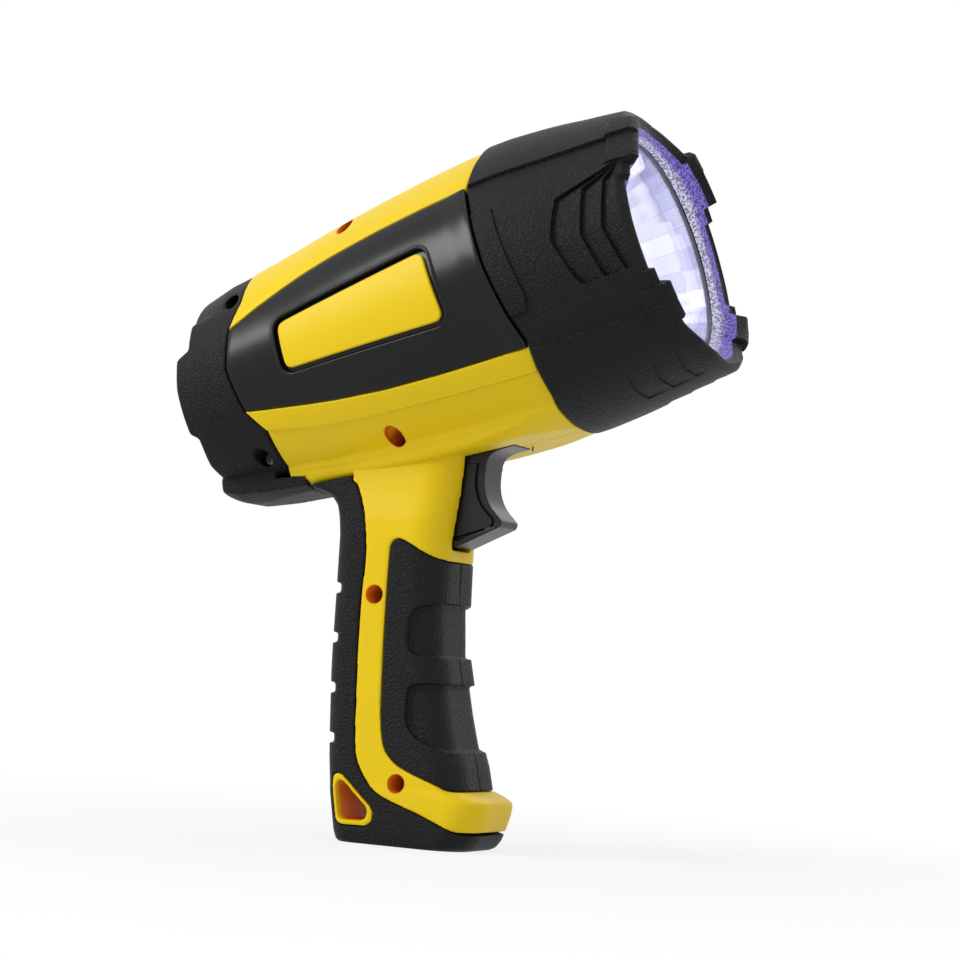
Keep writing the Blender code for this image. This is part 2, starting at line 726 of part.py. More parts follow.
def lens_stations():
    """Stations of the lamp's stack: guard lip, gasket, lens and reflector flange, front to rear."""
    lens_front = station(LENS_FACE_STATION_SHARE)
    lens_rear = lens_front - LENS_THICKNESS
    flange_front = lens_rear - FIT
    flange_rear = flange_front - REFLECTOR_FLANGE
    gasket_rear = lens_front + FIT
    gasket_front = gasket_rear + GASKET_THICKNESS
    return {
        "lip_rear": gasket_front + FIT,
        "gasket": (gasket_rear, gasket_front),
        "lens": (lens_rear, lens_front),
        "flange": (flange_rear, flange_front),
        "sleeve_tip": flange_rear - FIT,
    }


def lamp_stations():
    """Stations behind the reflector: its neck, the LED board and the heat sink's plate."""
    sink_front = cradle_places()["front"] + SINK_GAP + SINK_FIN_DEPTH + SINK_PLATE
    board_rear = sink_front + FIT
    board_front = board_rear + LED_BOARD_THICKNESS
    neck = board_front + FIT
    return {
        "neck": neck,
        "board": (board_rear, board_front),
        "sink": (sink_front - SINK_PLATE, sink_front),
    }


def sleeve_radius(along):
    """Outer radius of the casing's sleeve under the bezel guard."""
    tip = lens_stations()["sleeve_tip"]
    root = station(GUARD_SLEEVE_ROOT_SHARE)
    at_root, at_tip = guard_sleeve_radii()
    share = (along - root) / (tip - root)
    return at_root + share * (at_tip - at_root)


def cradle_places():
    """Stations and heights of the battery cradle round its cells."""
    rear = station(CELL_REAR_SHARE)
    front = rear + CELL_LENGTH + CELL_TERMINAL_HEIGHT
    under = CELL_HEIGHT - CELL_RADIUS - FIT
    return {
        "rear": rear - FIT - CRADLE_END,
        "front": front + FIT + CRADLE_END,
        "base": under - CRADLE_BASE,
        "under": under,
        "half_width": (CELL_COUNT - 1) / 2 * CELL_PITCH + CELL_RADIUS + FIT,
    }


def barrel_screw_places():
    """Side-view places of the two screws in the barrel."""
    along = station(BARREL_SCREW_STATION_SHARE)
    height = BARREL_SCREW_HEIGHT_SHARE * BARREL_RADIUS
    return (along, height), (along, -height)


def switch_box():
    """Rear, front, base and top of the switch's body."""
    front = TRIGGER_REAR_SHARE * GRIP_DEPTH - SWITCH_SETBACK
    base = SWITCH_BASE_SHARE * GRIP_HEIGHT
    return front - SWITCH_DEPTH, front, base, base + SWITCH_HEIGHT


def lever_pivot():
    """Side-view place of the switch lever's hinge."""
    _, front, base, _ = switch_box()
    return front + FIT + LEVER_HUB_RADIUS, base + LEVER_HEIGHT_SHARE * SWITCH_HEIGHT


def shifted(solid, height, left):
    """A turned solid moved off the barrel's axis."""
    solid.location = (-height, left, 0)
    return solid


def handle_casing(frames):
    """The handle's part of the casing, still solid: neck, stripe, nose and core."""
    bottom = FOOT_THICKNESS + FIT
    casing = handle_stock("handle_casing", 0, bottom, frames.foot)
    cut(
        casing,
        wide_plate("palm_cutter", palm_region(), frames.side),
        wide_plate("finger_cutter", handle_points(FINGER_GRIP_SHARES), frames.side),
    )
    core = handle_stock("core", GRIP_THICKNESS + FIT, bottom, frames.foot, flared=False)
    eye = wide_plate("eye_rim", handle_points(EYE_SHARES), frames.side)
    kept(eye, handle_stock("eye_limit", -EYE_RIM_RISE, 0, frames.foot))
    return joined(core, casing, eye)


def barrel_casing(frames):
    """The barrel's part of the casing, still solid: the body between its joints and both sleeves."""
    casing = barrel_stock("barrel_casing", 0, frames.axis)
    kept(casing, wide_plate("body_limit", body_region(), frames.barrel))
    sleeve_rear, sleeve_root = station(CAP_SLEEVE_REAR_SHARE), station(CAP_SLEEVE_ROOT_SHARE)
    root, tip = station(GUARD_SLEEVE_ROOT_SHARE), lens_stations()["sleeve_tip"]
    outer = cap_sleeve_radius()
    cap_sleeve = turned(
        "cap_sleeve",
        [(sleeve_rear, 0), (sleeve_rear, outer), (sleeve_root, outer), (sleeve_root, 0)],
        frames.axis,
    )
    guard_sleeve = turned(
        "guard_sleeve",
        [(root, 0), (root, sleeve_radius(root)), (tip, sleeve_radius(tip)), (tip, 0)],
        frames.axis,
    )
    return joined(casing, cap_sleeve, guard_sleeve)


def barrel_hollow(frames):
    """The space inside the casing's barrel and its sleeves."""
    table = barrel_points(BODY_PROFILE_SHARES)
    sleeve_root = station(CAP_SLEEVE_ROOT_SHARE)
    root, tip = station(GUARD_SLEEVE_ROOT_SHARE), lens_stations()["sleeve_tip"]
    cap_bore = cap_sleeve_radius() - CAP_SLEEVE_WALL
    profile = [
        (table[0][0] - OVERRUN, 0),
        (table[0][0] - OVERRUN, cap_bore),
        (sleeve_root, cap_bore),
        *body_profile(-WALL, sleeve_root + WALL, root - WALL),
        (root, sleeve_radius(root) - WALL),
        (tip + OVERRUN, sleeve_radius(tip) - WALL),
        (tip + OVERRUN, 0),
    ]
    return turned("barrel_hollow", profile, frames.axis)


def barrel_fittings(frames):
    """Posts, rails, pin bosses and the bulkhead in the barrel, trimmed to end inside its wall."""
    half = BARREL_RADIUS
    cradle = cradle_places()
    fittings = [
        rod("barrel_post", place, SCREW_POST_RADIUS, frames.barrel, half, -half)
        for place in barrel_screw_places()
    ]
    rail_top = cradle["base"] - FIT
    for left, right in ((half, RAIL_INNER), (-RAIL_INNER, -half)):
        fittings.append(
            block(
                "rail", cradle["rear"], cradle["front"], rail_top - RAIL_THICKNESS, rail_top,
                left, right, frames.barrel,
            )
        )
    sink_rear, sink_front = lamp_stations()["sink"]
    rear = (sink_rear + sink_front - BULKHEAD_THICKNESS) / 2
    front = rear + BULKHEAD_THICKNESS
    bore = SINK_RADIUS + FIT
    profile = [(front, bore), (front, half), (rear, half), (rear, bore)]
    fittings.append(turned("bulkhead", profile, frames.axis))
    (pivot_x, pivot_z), = handle_points([PIVOT_SHARES])
    for left, right in pin_boss_spans():
        boss = rod("pin_boss", (pivot_x, pivot_z), PIN_BOSS_RADIUS, frames.side, left, right)
        web = block(
            "pin_web", pivot_x - PIN_BOSS_RADIUS, pivot_x + PIN_BOSS_RADIUS,
            pivot_z - PIN_BOSS_RADIUS - 2 * OVERRUN, pivot_z, left, right, frames.side,
        )
        fittings.append(joined(boss, web))
    limit = barrel_stock("barrel_limit", -2 * WALL / 3, frames.axis)
    return [kept(piece, limit) for piece in fittings]


def pin_boss_spans():
    """Left and right ends of the two bosses that hold the trigger's pin."""
    inner = TRIGGER_PLATE_HALF_WIDTH + FIT
    outer = inner + PIN_BOSS_THICKNESS
    return (outer, inner), (-inner, -outer)


def handle_fittings(frames):
    """Switch posts, screw posts and the lanyard eye's wall inside the handle."""
    half = BARREL_RADIUS
    rear, front, base, top = switch_box()
    fittings = []
    for share in SWITCH_POST_SHARES:
        place = ((rear + front) / 2, base + share * (top - base))
        for left, right in ((half, SWITCH_HALF_WIDTH + FIT), (-SWITCH_HALF_WIDTH - FIT, -half)):
            fittings.append(rod("switch_post", place, SWITCH_POST_RADIUS, frames.side, left, right))
    for place in handle_points(HANDLE_SCREW_SHARES):
        fittings.append(rod("handle_post", place, SCREW_POST_RADIUS, frames.side, half, -half))
    fittings.append(wide_plate("eye_wall", handle_points(EYE_SHARES), frames.side))
    inset = GRIP_THICKNESS + FIT + WALL / 2
    bottom = FOOT_THICKNESS + FIT + WALL / 2
    limit = handle_stock("handle_limit", inset, bottom, frames.foot, flared=False)
    return [kept(piece, limit) for piece in fittings]


def cap_fittings(frames):
    """Posts in the rear sleeve for the end cap's screws, each on a web to the sleeve."""
    top = CAP_BOSS_LEFT + FIT + CAP_SCREW_POST_LENGTH
    bottom = CAP_BOSS_LEFT
    middle_wall = cap_sleeve_radius() - CAP_SLEEVE_WALL / 2
    rear, front = station(CAP_SLEEVE_REAR_SHARE), station(CAP_SLEEVE_ROOT_SHARE)
    limit = turned(
        "sleeve_limit", [(rear, 0), (rear, middle_wall), (front, middle_wall), (front, 0)], frames.axis
    )
    fittings = []
    for along, height in barrel_points(CAP_SCREW_SHARES):
        post = rod("cap_post", (along, height), CAP_SCREW_POST_RADIUS, frames.barrel, top, bottom)
        edge = math.copysign(cap_sleeve_radius(), height)
        web = block(
            "cap_web", along - CAP_SCREW_WEB / 2, along + CAP_SCREW_WEB / 2,
            min(height, edge), max(height, edge), top - FIT, bottom - FIT, frames.barrel,
        )
        fittings.append(kept(joined(post, web), limit))
    return fittings


def screw_holes(frames):
    """Recess, clearance hole and pilot hole of each screw in the casing."""
    half = BARREL_RADIUS + OVERRUN
    shank = SCREW_SHANK_RADIUS + FIT
    holes = []
    places = [(place, frames.barrel) for place in barrel_screw_places()]
    places += [(place, frames.side) for place in handle_points(HANDLE_SCREW_SHARES)]
    for place, frame in places:
        holes.append(rod("recess", place, SCREW_RECESS_RADIUS, frame, -SCREW_SEAT, -half))
        holes.append(rod("shank_hole", place, shank, frame, SCREW_REACH + FIT, -SCREW_SEAT - FIT))
    clearance = CAP_BOSS_RADIUS + FIT
    end = station(CAP_SLEEVE_REAR_SHARE) - OVERRUN
    for along, height in barrel_points(CAP_SCREW_SHARES):
        holes.append(
            block(
                "cap_boss_slot", end, along, height - clearance, height + clearance,
                CAP_BOSS_LEFT + FIT, -half, frames.barrel,
            )
        )
        room = clearance + FIT / 2
        place = (along, height)
        holes.append(rod("cap_boss_room", place, room, frames.barrel, CAP_BOSS_LEFT + FIT, -half))
        pilot_end = CAP_BOSS_LEFT - CAP_BOSS_FLOOR + CAP_SCREW_LENGTH + FIT
        holes.append(rod("cap_pilot", place, shank, frames.barrel, pilot_end, CAP_BOSS_LEFT))
    return holes


def trigger_slot(frames):
    """Opening in the neck and the belly that the trigger works in."""
    half = TRIGGER_PLATE_HALF_WIDTH + FIT
    rear = TRIGGER_REAR_SHARE * GRIP_DEPTH - TRIGGER_PULL_ROOM
    front = TRIGGER_SLOT_FRONT_SHARE * GRIP_DEPTH
    base = TRIGGER_HEEL_SHARES[0][1] * GRIP_HEIGHT - TRIGGER_SLOT_CLEARANCE
    top = PIVOT_SHARES[1] * GRIP_HEIGHT + OVERRUN
    return block("trigger_slot", rear, front, base, top, half, -half, frames.side)


def eye_hole(frames):
    """The lanyard eye, right through the foot."""
    eye = handle_points(EYE_SHARES)
    middle = [sum(values) / len(eye) for values in zip(*eye)]
    hole = [tuple(m + EYE_HOLE_SHARE * (v - m) for v, m in zip(point, middle)) for point in eye]
    return wide_plate("eye_hole", hole, frames.side)


def panel_layer(name, outer, inner, region, frames):
    """A layer of the barrel's side between two depths, inside a side-view region."""
    layer = barrel_shell(name, outer, inner, frames.axis)
    return kept(layer, wide_plate(name + "_limit", region, frames.barrel))


def casing_solid(frames):
    """Both halves of the casing in one, hollowed and with everything moulded in it."""
    casing = joined(handle_casing(frames), barrel_casing(frames))
    inset = GRIP_THICKNESS + FIT + WALL
    bottom = FOOT_THICKNESS + FIT + WALL
    hollow = handle_stock("handle_hollow", inset, bottom, frames.foot, flared=False)
    cut(casing, barrel_hollow(frames), hollow)
    depth = PANEL_THICKNESS + FIT
    wide = grown(panel_region(), PANEL_BACKING_MARGIN)
    backing = panel_layer("panel_backing", WALL / 2, depth + PANEL_BACKING, wide, frames)
    kept(backing, wide_plate("backing_limit", grown(body_region(), -FIT), frames.barrel))
    joined(casing, backing, *barrel_fittings(frames), *handle_fittings(frames))
    cut(casing, panel_layer("panel_recess", -OVERRUN, depth, panel_region(), frames))
    cut(casing, trigger_slot(frames), eye_hole(frames))
    pivot, = handle_points([PIVOT_SHARES])
    outer = pin_boss_spans()[0][0] + OVERRUN
    cut(casing, rod("pin_hole", pivot, PIN_RADIUS + FIT, frames.side, outer, -outer))
    return casing


def add_housing(frames, finishes):
    """The yellow casing, split down the middle."""
    casing = casing_solid(frames)
    half = BARREL_RADIUS + OVERRUN
    reach = 2 * BARREL_LENGTH
    left = copied(casing, "left")
    cut(left, block("right_side", -reach, reach, -reach, reach, FIT / 2, -half, frames.side))
    cut(left, *screw_holes(frames))
    add_part("housing_left", left, finishes.yellow)
    cut(casing, block("left_side", -reach, reach, -reach, reach, half, -FIT / 2, frames.side))
    joined(casing, *cap_fittings(frames))
    cut(casing, *screw_holes(frames))
    add_part("housing_right", casing, finishes.yellow)


def add_side_panels(frames, finishes):
    """The glossy panels, each with a pocket for its badge, and the badges."""
    badge_outline = rounded(barrel_points(BADGE_CORNER_SHARES), BADGE_CORNER)
    panel = panel_layer("panel", 0, PANEL_THICKNESS, grown(panel_region(), -FIT), frames)
    kept(panel, wide_plate("panel_ends", body_region(), frames.barrel))
    pocket = panel_layer(
        "pocket", -OVERRUN, BADGE_THICKNESS + FIT, grown(badge_outline, BADGE_GROOVE), frames
    )
    cut(panel, pocket)
    badge = panel_layer("badge", 0, BADGE_THICKNESS, badge_outline, frames)
    reach = 2 * BARREL_LENGTH
    half = BARREL_RADIUS + OVERRUN
    for side, left, right in (("left", half, 0), ("right", 0, -half)):
        room = block("half_room", -reach, reach, -reach, reach, left, right, frames.side)
        add_part(f"side_panel_{side}", kept(copied(panel, "panel_half"), room), finishes.gloss)
        add_part(f"badge_{side}", kept(copied(badge, "badge_half"), room), finishes.yellow)


def guard_profile(grow):
    """The guard's outer surface from front to rear, grown by a distance."""
    return [(along, radius + grow) for along, radius in barrel_points(GUARD_PROFILE_SHARES)]


def add_bezel_guard(frames, finishes):
    """The rubber guard round the lamp head: toothed rim, stepped sides and a lip over the lens."""
    outside = guard_profile(0)
    rear, front = outside[-1][0], outside[0][0]
    lip_rear = lens_stations()["lip_rear"]
    lip_front = lip_rear + GUARD_LIP_THICKNESS
    tip = lens_stations()["sleeve_tip"]
    bore = sleeve_radius(tip) + FIT
    middle = (front + lip_front) / 2
    guard = turned(
        "guard",
        [
            *outside,
            (rear, sleeve_radius(rear) + FIT),
            (tip, bore),
            (lip_rear, bore),
            (lip_rear, mouth_radius()),
            (lip_front, mouth_radius()),
            (middle, (mouth_radius() + 2 * guard_mouth_radius()) / 3),
            (front, guard_mouth_radius()),
        ],
        frames.axis,
    )
    rim = barrel_points(GUARD_RIM_SHARES)
    joint = moved(barrel_points(FRONT_JOINT_SHARES), FIT)
    kept(guard, wide_plate("guard_limit", [*mirrored(rim), *rim[1:], *joint], frames.barrel))
    side_upper = barrel_points(GUARD_SIDE_UPPER_SHARES)
    profile = [*guard_profile(OVERRUN), *reversed(guard_profile(-GUARD_SIDE_STEP))]
    step = turned("side_step", profile, frames.axis)
    kept(step, wide_plate("side_step_limit", [*side_upper, *mirrored(side_upper)], frames.barrel))
    add_part("bezel_guard", cut(guard, step), finishes.rubber)


def cap_keel(frames):
    """The keel under the cap that runs forward below the barrel to the palm strap."""
    keel = plate("keel", handle_points(KEEL_SHARES), frames.side, KEEL_HALF_WIDTH, -KEEL_HALF_WIDTH)
    return cut(keel, barrel_stock("keel_room", FIT, frames.axis))


def cap_profile(grow):
    """The end cap's outer surface, closed at both ends and grown by a distance."""
    outside = [(along, radius + grow) for along, radius in barrel_points(CAP_PROFILE_SHARES)]
    return [(outside[0][0], 0), *outside, (outside[-1][0], 0)]


def cap_room(frames):
    """The space that the end cap's round body needs, with clearance."""
    return turned("cap_room", cap_profile(FIT), frames.axis)


def add_rear_cap(frames, finishes):
    """The black end cap: lobed rim, keel, screw bosses and a face for the charging socket."""
    outside = barrel_points(CAP_PROFILE_SHARES)
    face = station(CAP_FACE_SHARE)
    cap = turned("cap", cap_profile(0), frames.axis)
    joint = moved(barrel_points(REAR_JOINT_SHARES), -FIT)
    rim = barrel_points(CAP_RIM_SHARES)
    kept(cap, wide_plate("cap_limit", [*rim, *reversed(joint)], frames.barrel))
    joined(cap, cap_keel(frames))
    bore = cap_sleeve_radius() + FIT
    floor = face + CAP_WALL
    front = outside[0][0] + OVERRUN
    back = outside[-1][0] - OVERRUN
    sleeve_end = station(CAP_SLEEVE_REAR_SHARE) - FIT
    spaces = {
        "cap_bore": [(front, 0), (front, bore), (floor, bore - CAP_WALL), (floor, 0)],
        "sleeve_room": [(front, 0), (front, bore), (sleeve_end, bore), (sleeve_end, 0)],
        "face_recess": [(face, 0), (face, CAP_FACE_RADIUS), (back, CAP_FACE_RADIUS), (back, 0)],
    }
    cut(cap, *(turned(name, profile, frames.axis) for name, profile in spaces.items()))
    bosses = [
        rod("cap_boss", place, CAP_BOSS_RADIUS, frames.barrel, CAP_BOSS_LEFT, -BARREL_RADIUS)
        for place in barrel_points(CAP_SCREW_SHARES)
    ]
    limit = turned("boss_limit", cap_profile(-CAP_WALL / 4), frames.axis)
    joined(cap, *(kept(boss, limit) for boss in bosses), *cover_ears(frames))
    seat, shank = CAP_BOSS_LEFT - CAP_BOSS_FLOOR, SCREW_SHANK_RADIUS + FIT
    inner, outer = CAP_BOSS_LEFT + OVERRUN, CAP_BOSS_LEFT - OVERRUN
    for place in barrel_points(CAP_SCREW_SHARES):
        cut(
            cap,
            rod("cap_recess", place, CAP_SCREW_RECESS_RADIUS, frames.barrel, seat, -BARREL_RADIUS),
            rod("cap_shank", place, shank, frames.barrel, inner, outer),
        )
    socket = barrel_stud("socket_hole", SOCKET_RADIUS + FIT, back, floor + OVERRUN, frames)
    cut(cap, shifted(socket, SOCKET_HEIGHT, 0))
    indicator = barrel_stud("indicator_hole", INDICATOR_RADIUS + FIT, back, floor + OVERRUN, frames)
    cut(cap, shifted(indicator, SOCKET_HEIGHT, INDICATOR_LEFT))
    add_part("rear_cap", cap, finishes.rubber)


def barrel_stud(name, radius, rear, front, frames):
    """A round rod along the barrel's axis."""
    return turned(name, [(front, 0), (front, radius), (rear, radius), (rear, 0)], frames.axis, ROD_SEGMENTS)


def cover_hinge():
    """Side-view place of the socket cover's hinge."""
    return station(CAP_FACE_SHARE) - FIT - COVER_KNUCKLE_RADIUS, SOCKET_HEIGHT + COVER_HINGE_RISE


def cover_ears(frames):
    """The two ears on the cap's face that hold the socket cover's knuckle."""
    along, height = cover_hinge()
    face = station(CAP_FACE_SHARE)
    inner = COVER_KNUCKLE_HALF_WIDTH + FIT
    outer = inner + COVER_EAR_THICKNESS
    half = COVER_KNUCKLE_RADIUS
    rear, front = face - COVER_EAR_DEPTH, face + CAP_WALL / 2
    return [
        block("ear", rear, front, height - half, height + half, left, right, frames.barrel)
        for left, right in ((outer, inner), (-inner, -outer))
    ]


def add_grips(frames, finishes):
    """The finger grip and the palm strap with the foot, both wrapped round the casing's core."""
    core_room = handle_stock("core_room", GRIP_THICKNESS, FOOT_THICKNESS, frames.foot, flared=False)
    finger = handle_stock("finger_grip", 0, 0, frames.foot)
    region = grown(handle_points(FINGER_GRIP_SHARES), -FIT)
    kept(finger, wide_plate("finger_limit", region, frames.side))
    floor = handle_stock("groove_floor", FINGER_GROOVE_DEPTH, 0, frames.foot)
    grooves = [
        cut(wide_plate("groove", handle_points(shares), frames.side), floor)
        for shares in (UPPER_GROOVE_SHARES, LOWER_GROOVE_SHARES)
    ]
    cut(finger, core_room, *grooves)
    add_part("grip_front", finger, finishes.rubber)

    palm = handle_stock("palm_grip", 0, 0, frames.foot)
    kept(palm, wide_plate("palm_limit", grown(palm_region(), -FIT), frames.side))
    keel_front = KEEL_FRONT_SHARE * GRIP_DEPTH + FIT
    height = GRIP_HEIGHT * HANDLE_TOP_SHARE + OVERRUN
    cut(
        palm,
        core_room,
        barrel_stock("palm_barrel_room", FIT, frames.axis),
        cap_room(frames),
        wide_plate("eye_room", grown(handle_points(EYE_SHARES), FIT), frames.side),
        wide_plate(
            "keel_side",
            [(-height, GRIP_HEIGHT), (keel_front, GRIP_HEIGHT), (keel_front, height), (-height, height)],
            frames.side,
        ),
    )
    for i in range(PALM_NOTCH_COUNT):
        middle = (PALM_NOTCH_FIRST_SHARE + i * PALM_NOTCH_PITCH_SHARE) * GRIP_HEIGHT
        rear = handle_section(middle, 0, True)[0]
        cut(
            palm,
            block(
                "notch", rear - OVERRUN, rear + PALM_NOTCH_DEPTH, middle - PALM_NOTCH_HEIGHT / 2,
                middle + PALM_NOTCH_HEIGHT / 2, BARREL_RADIUS, -BARREL_RADIUS, frames.side,
            ),
        )
    add_part("grip_back", palm, finishes.rubber)


def nub_place():
    """Side-view place of the trigger's nub, square to the lever where it touches."""
    pivot_x, pivot_z = lever_pivot()
    along = LEVER_TOUCH_SHARE * LEVER_LENGTH
    out = LEVER_THICKNESS / 2 + FIT + NUB_RADIUS
    return (
        pivot_x + along * math.sin(LEVER_LEAN) + out * math.cos(LEVER_LEAN),
        pivot_z + along * math.cos(LEVER_LEAN) - out * math.sin(LEVER_LEAN),
    )


def add_trigger(frames, finishes):
    """The trigger on its pin, with the torsion spring that returns it."""
    pivot, = handle_points([PIVOT_SHARES])
    hinge = add_empty("trigger_hinge", Matrix.Translation((pivot[0], 0, pivot[1])))
    front = handle_points(TRIGGER_FRONT_SHARES)
    outline = [*front, *handle_points(TRIGGER_HEEL_SHARES), *handle_points(TRIGGER_SHOULDER_SHARES)]
    body = plate("trigger_body", outline, frames.side, TRIGGER_HALF_WIDTH, -TRIGGER_HALF_WIDTH)
    finger = plate(
        "finger_plate",
        [*front, *reversed(moved(front, -TRIGGER_PLATE_THICKNESS))],
        frames.side, TRIGGER_PLATE_HALF_WIDTH, -TRIGGER_PLATE_HALF_WIDTH,
    )
    arm = plate(
        "trigger_arm", handle_points(TRIGGER_ARM_SHARES), frames.side,
        TRIGGER_ARM_HALF_WIDTH, -TRIGGER_ARM_HALF_WIDTH,
    )
    half = TRIGGER_ARM_HALF_WIDTH
    hub = rod("hub", pivot, PIVOT_HUB_RADIUS, frames.side, half, -half)
    nub_x, nub_z = nub_place()
    nub = rod("nub", (nub_x, nub_z), NUB_RADIUS, frames.side, LEVER_HALF_WIDTH, -LEVER_HALF_WIDTH)
    stem = block(
        "nub_stem", nub_x, handle_points(TRIGGER_HEEL_SHARES)[1][0] + TRIGGER_PLATE_THICKNESS,
        nub_z - NUB_RADIUS / 2, nub_z + NUB_RADIUS / 2, LEVER_HALF_WIDTH - FIT, FIT - LEVER_HALF_WIDTH,
        frames.side,
    )
    joined(body, finger, arm, hub, nub, stem)
    half = TRIGGER_PLATE_HALF_WIDTH
    cut(body, rod("pin_room", pivot, PIN_RADIUS + FIT, frames.side, half, -half))
    add_part("trigger", body, finishes.dark, hinge)
    outer = pin_boss_spans()[0][0]
    pin = rod("pin", pivot, PIN_RADIUS, frames.side, outer, -outer)
    add_part("trigger_pin", pin, finishes.steel)
    add_part("trigger_spring", spring_coil(pivot, frames), finishes.steel, hinge)


def spring_coil(pivot, frames):
    """A torsion coil round the trigger's pin, with a leg at each end."""
    start = TRIGGER_ARM_HALF_WIDTH + FIT + SPRING_WIRE_RADIUS
    end = TRIGGER_PLATE_HALF_WIDTH - FIT - SPRING_WIRE_RADIUS
    count = round(SPRING_TURNS * SPRING_POINTS_PER_TURN)
    points = []
    for i in range(count + 1):
        angle = math.tau * SPRING_TURNS * i / count
        points.append(
            (
                pivot[0] + SPRING_COIL_RADIUS * math.cos(angle),
                pivot[1] + SPRING_COIL_RADIUS * math.sin(angle),
                -(start + (end - start) * i / count),
            )
        )
    first, last = points[0], points[-1]
    points.insert(0, (first[0], first[1] - SPRING_LEG, first[2]))
    points.append((last[0], last[1] - SPRING_LEG, last[2]))
    return tube("spring", points, SPRING_WIRE_RADIUS, frames.side)


def add_switch(frames, finishes):
    """The micro switch clamped between its posts, and the lever that the trigger presses."""
    rear, front, base, top = switch_box()
    body = block("switch", rear, front, base, top, SWITCH_HALF_WIDTH, -SWITCH_HALF_WIDTH, frames.side)
    add_part("micro_switch", body, finishes.dark)
    pivot = lever_pivot()
    hinge = add_empty("lever_hinge", Matrix.Translation((pivot[0], 0, pivot[1])))
    along = (math.sin(LEVER_LEAN), math.cos(LEVER_LEAN))
    half = LEVER_THICKNESS / 2
    outline = [
        (pivot[0] + up * along[0] + out * along[1], pivot[1] + up * along[1] - out * along[0])
        for out, up in ((-half, 0), (half, 0), (half, LEVER_LENGTH), (-half, LEVER_LENGTH))
    ]
    wide = LEVER_HALF_WIDTH
    lever = plate("lever", outline, frames.side, wide, -wide)
    joined(lever, rod("lever_hub", pivot, LEVER_HUB_RADIUS, frames.side, wide, -wide))
    add_part("switch_lever", lever, finishes.steel, hinge)


def add_screws(frames, finishes):
    """The six screws, their heads at the bottom of the recesses."""
    casing_places = {
        "barrel_screw_upper": (barrel_screw_places()[0], frames.barrel),
        "barrel_screw_lower": (barrel_screw_places()[1], frames.barrel),
        "handle_screw_upper": (handle_points(HANDLE_SCREW_SHARES)[0], frames.side),
        "handle_screw_lower": (handle_points(HANDLE_SCREW_SHARES)[1], frames.side),
    }
    for name, (place, frame) in casing_places.items():
        add_screw(name, place, frame, SCREW_HEAD_RADIUS, -SCREW_SEAT - FIT, SCREW_REACH, finishes)
    seat = CAP_BOSS_LEFT - CAP_BOSS_FLOOR - FIT
    for name, place in zip(("cap_screw_upper", "cap_screw_lower"), barrel_points(CAP_SCREW_SHARES)):
        add_screw(name, place, frames.barrel, CAP_SCREW_HEAD_RADIUS, seat, seat + CAP_SCREW_LENGTH, finishes)


def add_screw(name, place, frame, head_radius, seat, tip, finishes):
    """A pan-head screw from its seat to its tip, measured to the left."""
    head = rod(name, place, head_radius, frame, seat, seat - SCREW_HEAD_HEIGHT)
    shank = rod("shank", place, SCREW_SHANK_RADIUS, frame, tip, seat - SCREW_HEAD_HEIGHT / 2)
    add_part(name, joined(head, shank), finishes.steel)


def reflector_profile():
    """The bowl's closed profile: flange, outer wall, neck and the parabola inside."""
    rear, front = lens_stations()["flange"]
    neck = lamp_stations()["neck"]
    rise = (mouth_radius()**2 - REFLECTOR_NECK_RADIUS**2) / (front - neck)
    bowl = []
    for i in range(REFLECTOR_STEPS + 1):
        radius = REFLECTOR_NECK_RADIUS + (mouth_radius() - REFLECTOR_NECK_RADIUS) * i / REFLECTOR_STEPS
        bowl.append((neck + (radius**2 - REFLECTOR_NECK_RADIUS**2) / rise, radius))
    outside = [(along, radius + REFLECTOR_WALL) for along, radius in bowl if along < rear - FIT]
    rim = lens_radius()
    return [(front, rim), (rear, rim), (rear, mouth_radius() + REFLECTOR_WALL), *reversed(outside), *bowl]


def add_lamp(frames, finishes):
    """Lens, gasket, reflector, LED and the heat sink behind it."""
    places = lens_stations()
    rear, front = places["lens"]
    outer = lens_radius()
    lens = turned("lens", [(front, 0), (front, outer), (rear, outer), (rear, 0)], frames.axis)
    add_part("lens", lens, material("clear_lens", (0.86, 0.88, 0.95), 0.05))
    rear, front = places["gasket"]
    inner = outer - GASKET_WIDTH
    profile = [(front, inner), (front, outer), (rear, outer), (rear, inner)]
    add_part("lens_gasket", turned("gasket", profile, frames.axis), finishes.rubber)
    bright = material("mirror_coating", (0.85, 0.87, 0.95), 0.12, 1.0)
    add_part("reflector", turned("reflector", reflector_profile(), frames.axis), bright)
    stations = lamp_stations()
    rear, front = stations["board"]
    board = barrel_stud("led_board", LED_BOARD_RADIUS, rear, front, frames)
    add_part("led_board", board, material("board_white", (0.85, 0.85, 0.83), 0.5))
    base = front + FIT
    dome = base + EMITTER_HEIGHT
    profile = [
        (dome, 0), (dome - EMITTER_RADIUS / 3, EMITTER_RADIUS * 2 / 3),
        (dome - EMITTER_RADIUS, EMITTER_RADIUS), (base, EMITTER_RADIUS), (base, 0),
    ]
    emitter = turned("emitter", profile, frames.axis, ROD_SEGMENTS)
    add_part("led_emitter", emitter, material("emitter_yellow", (0.9, 0.8, 0.3), 0.3))
    add_heat_sink(frames)


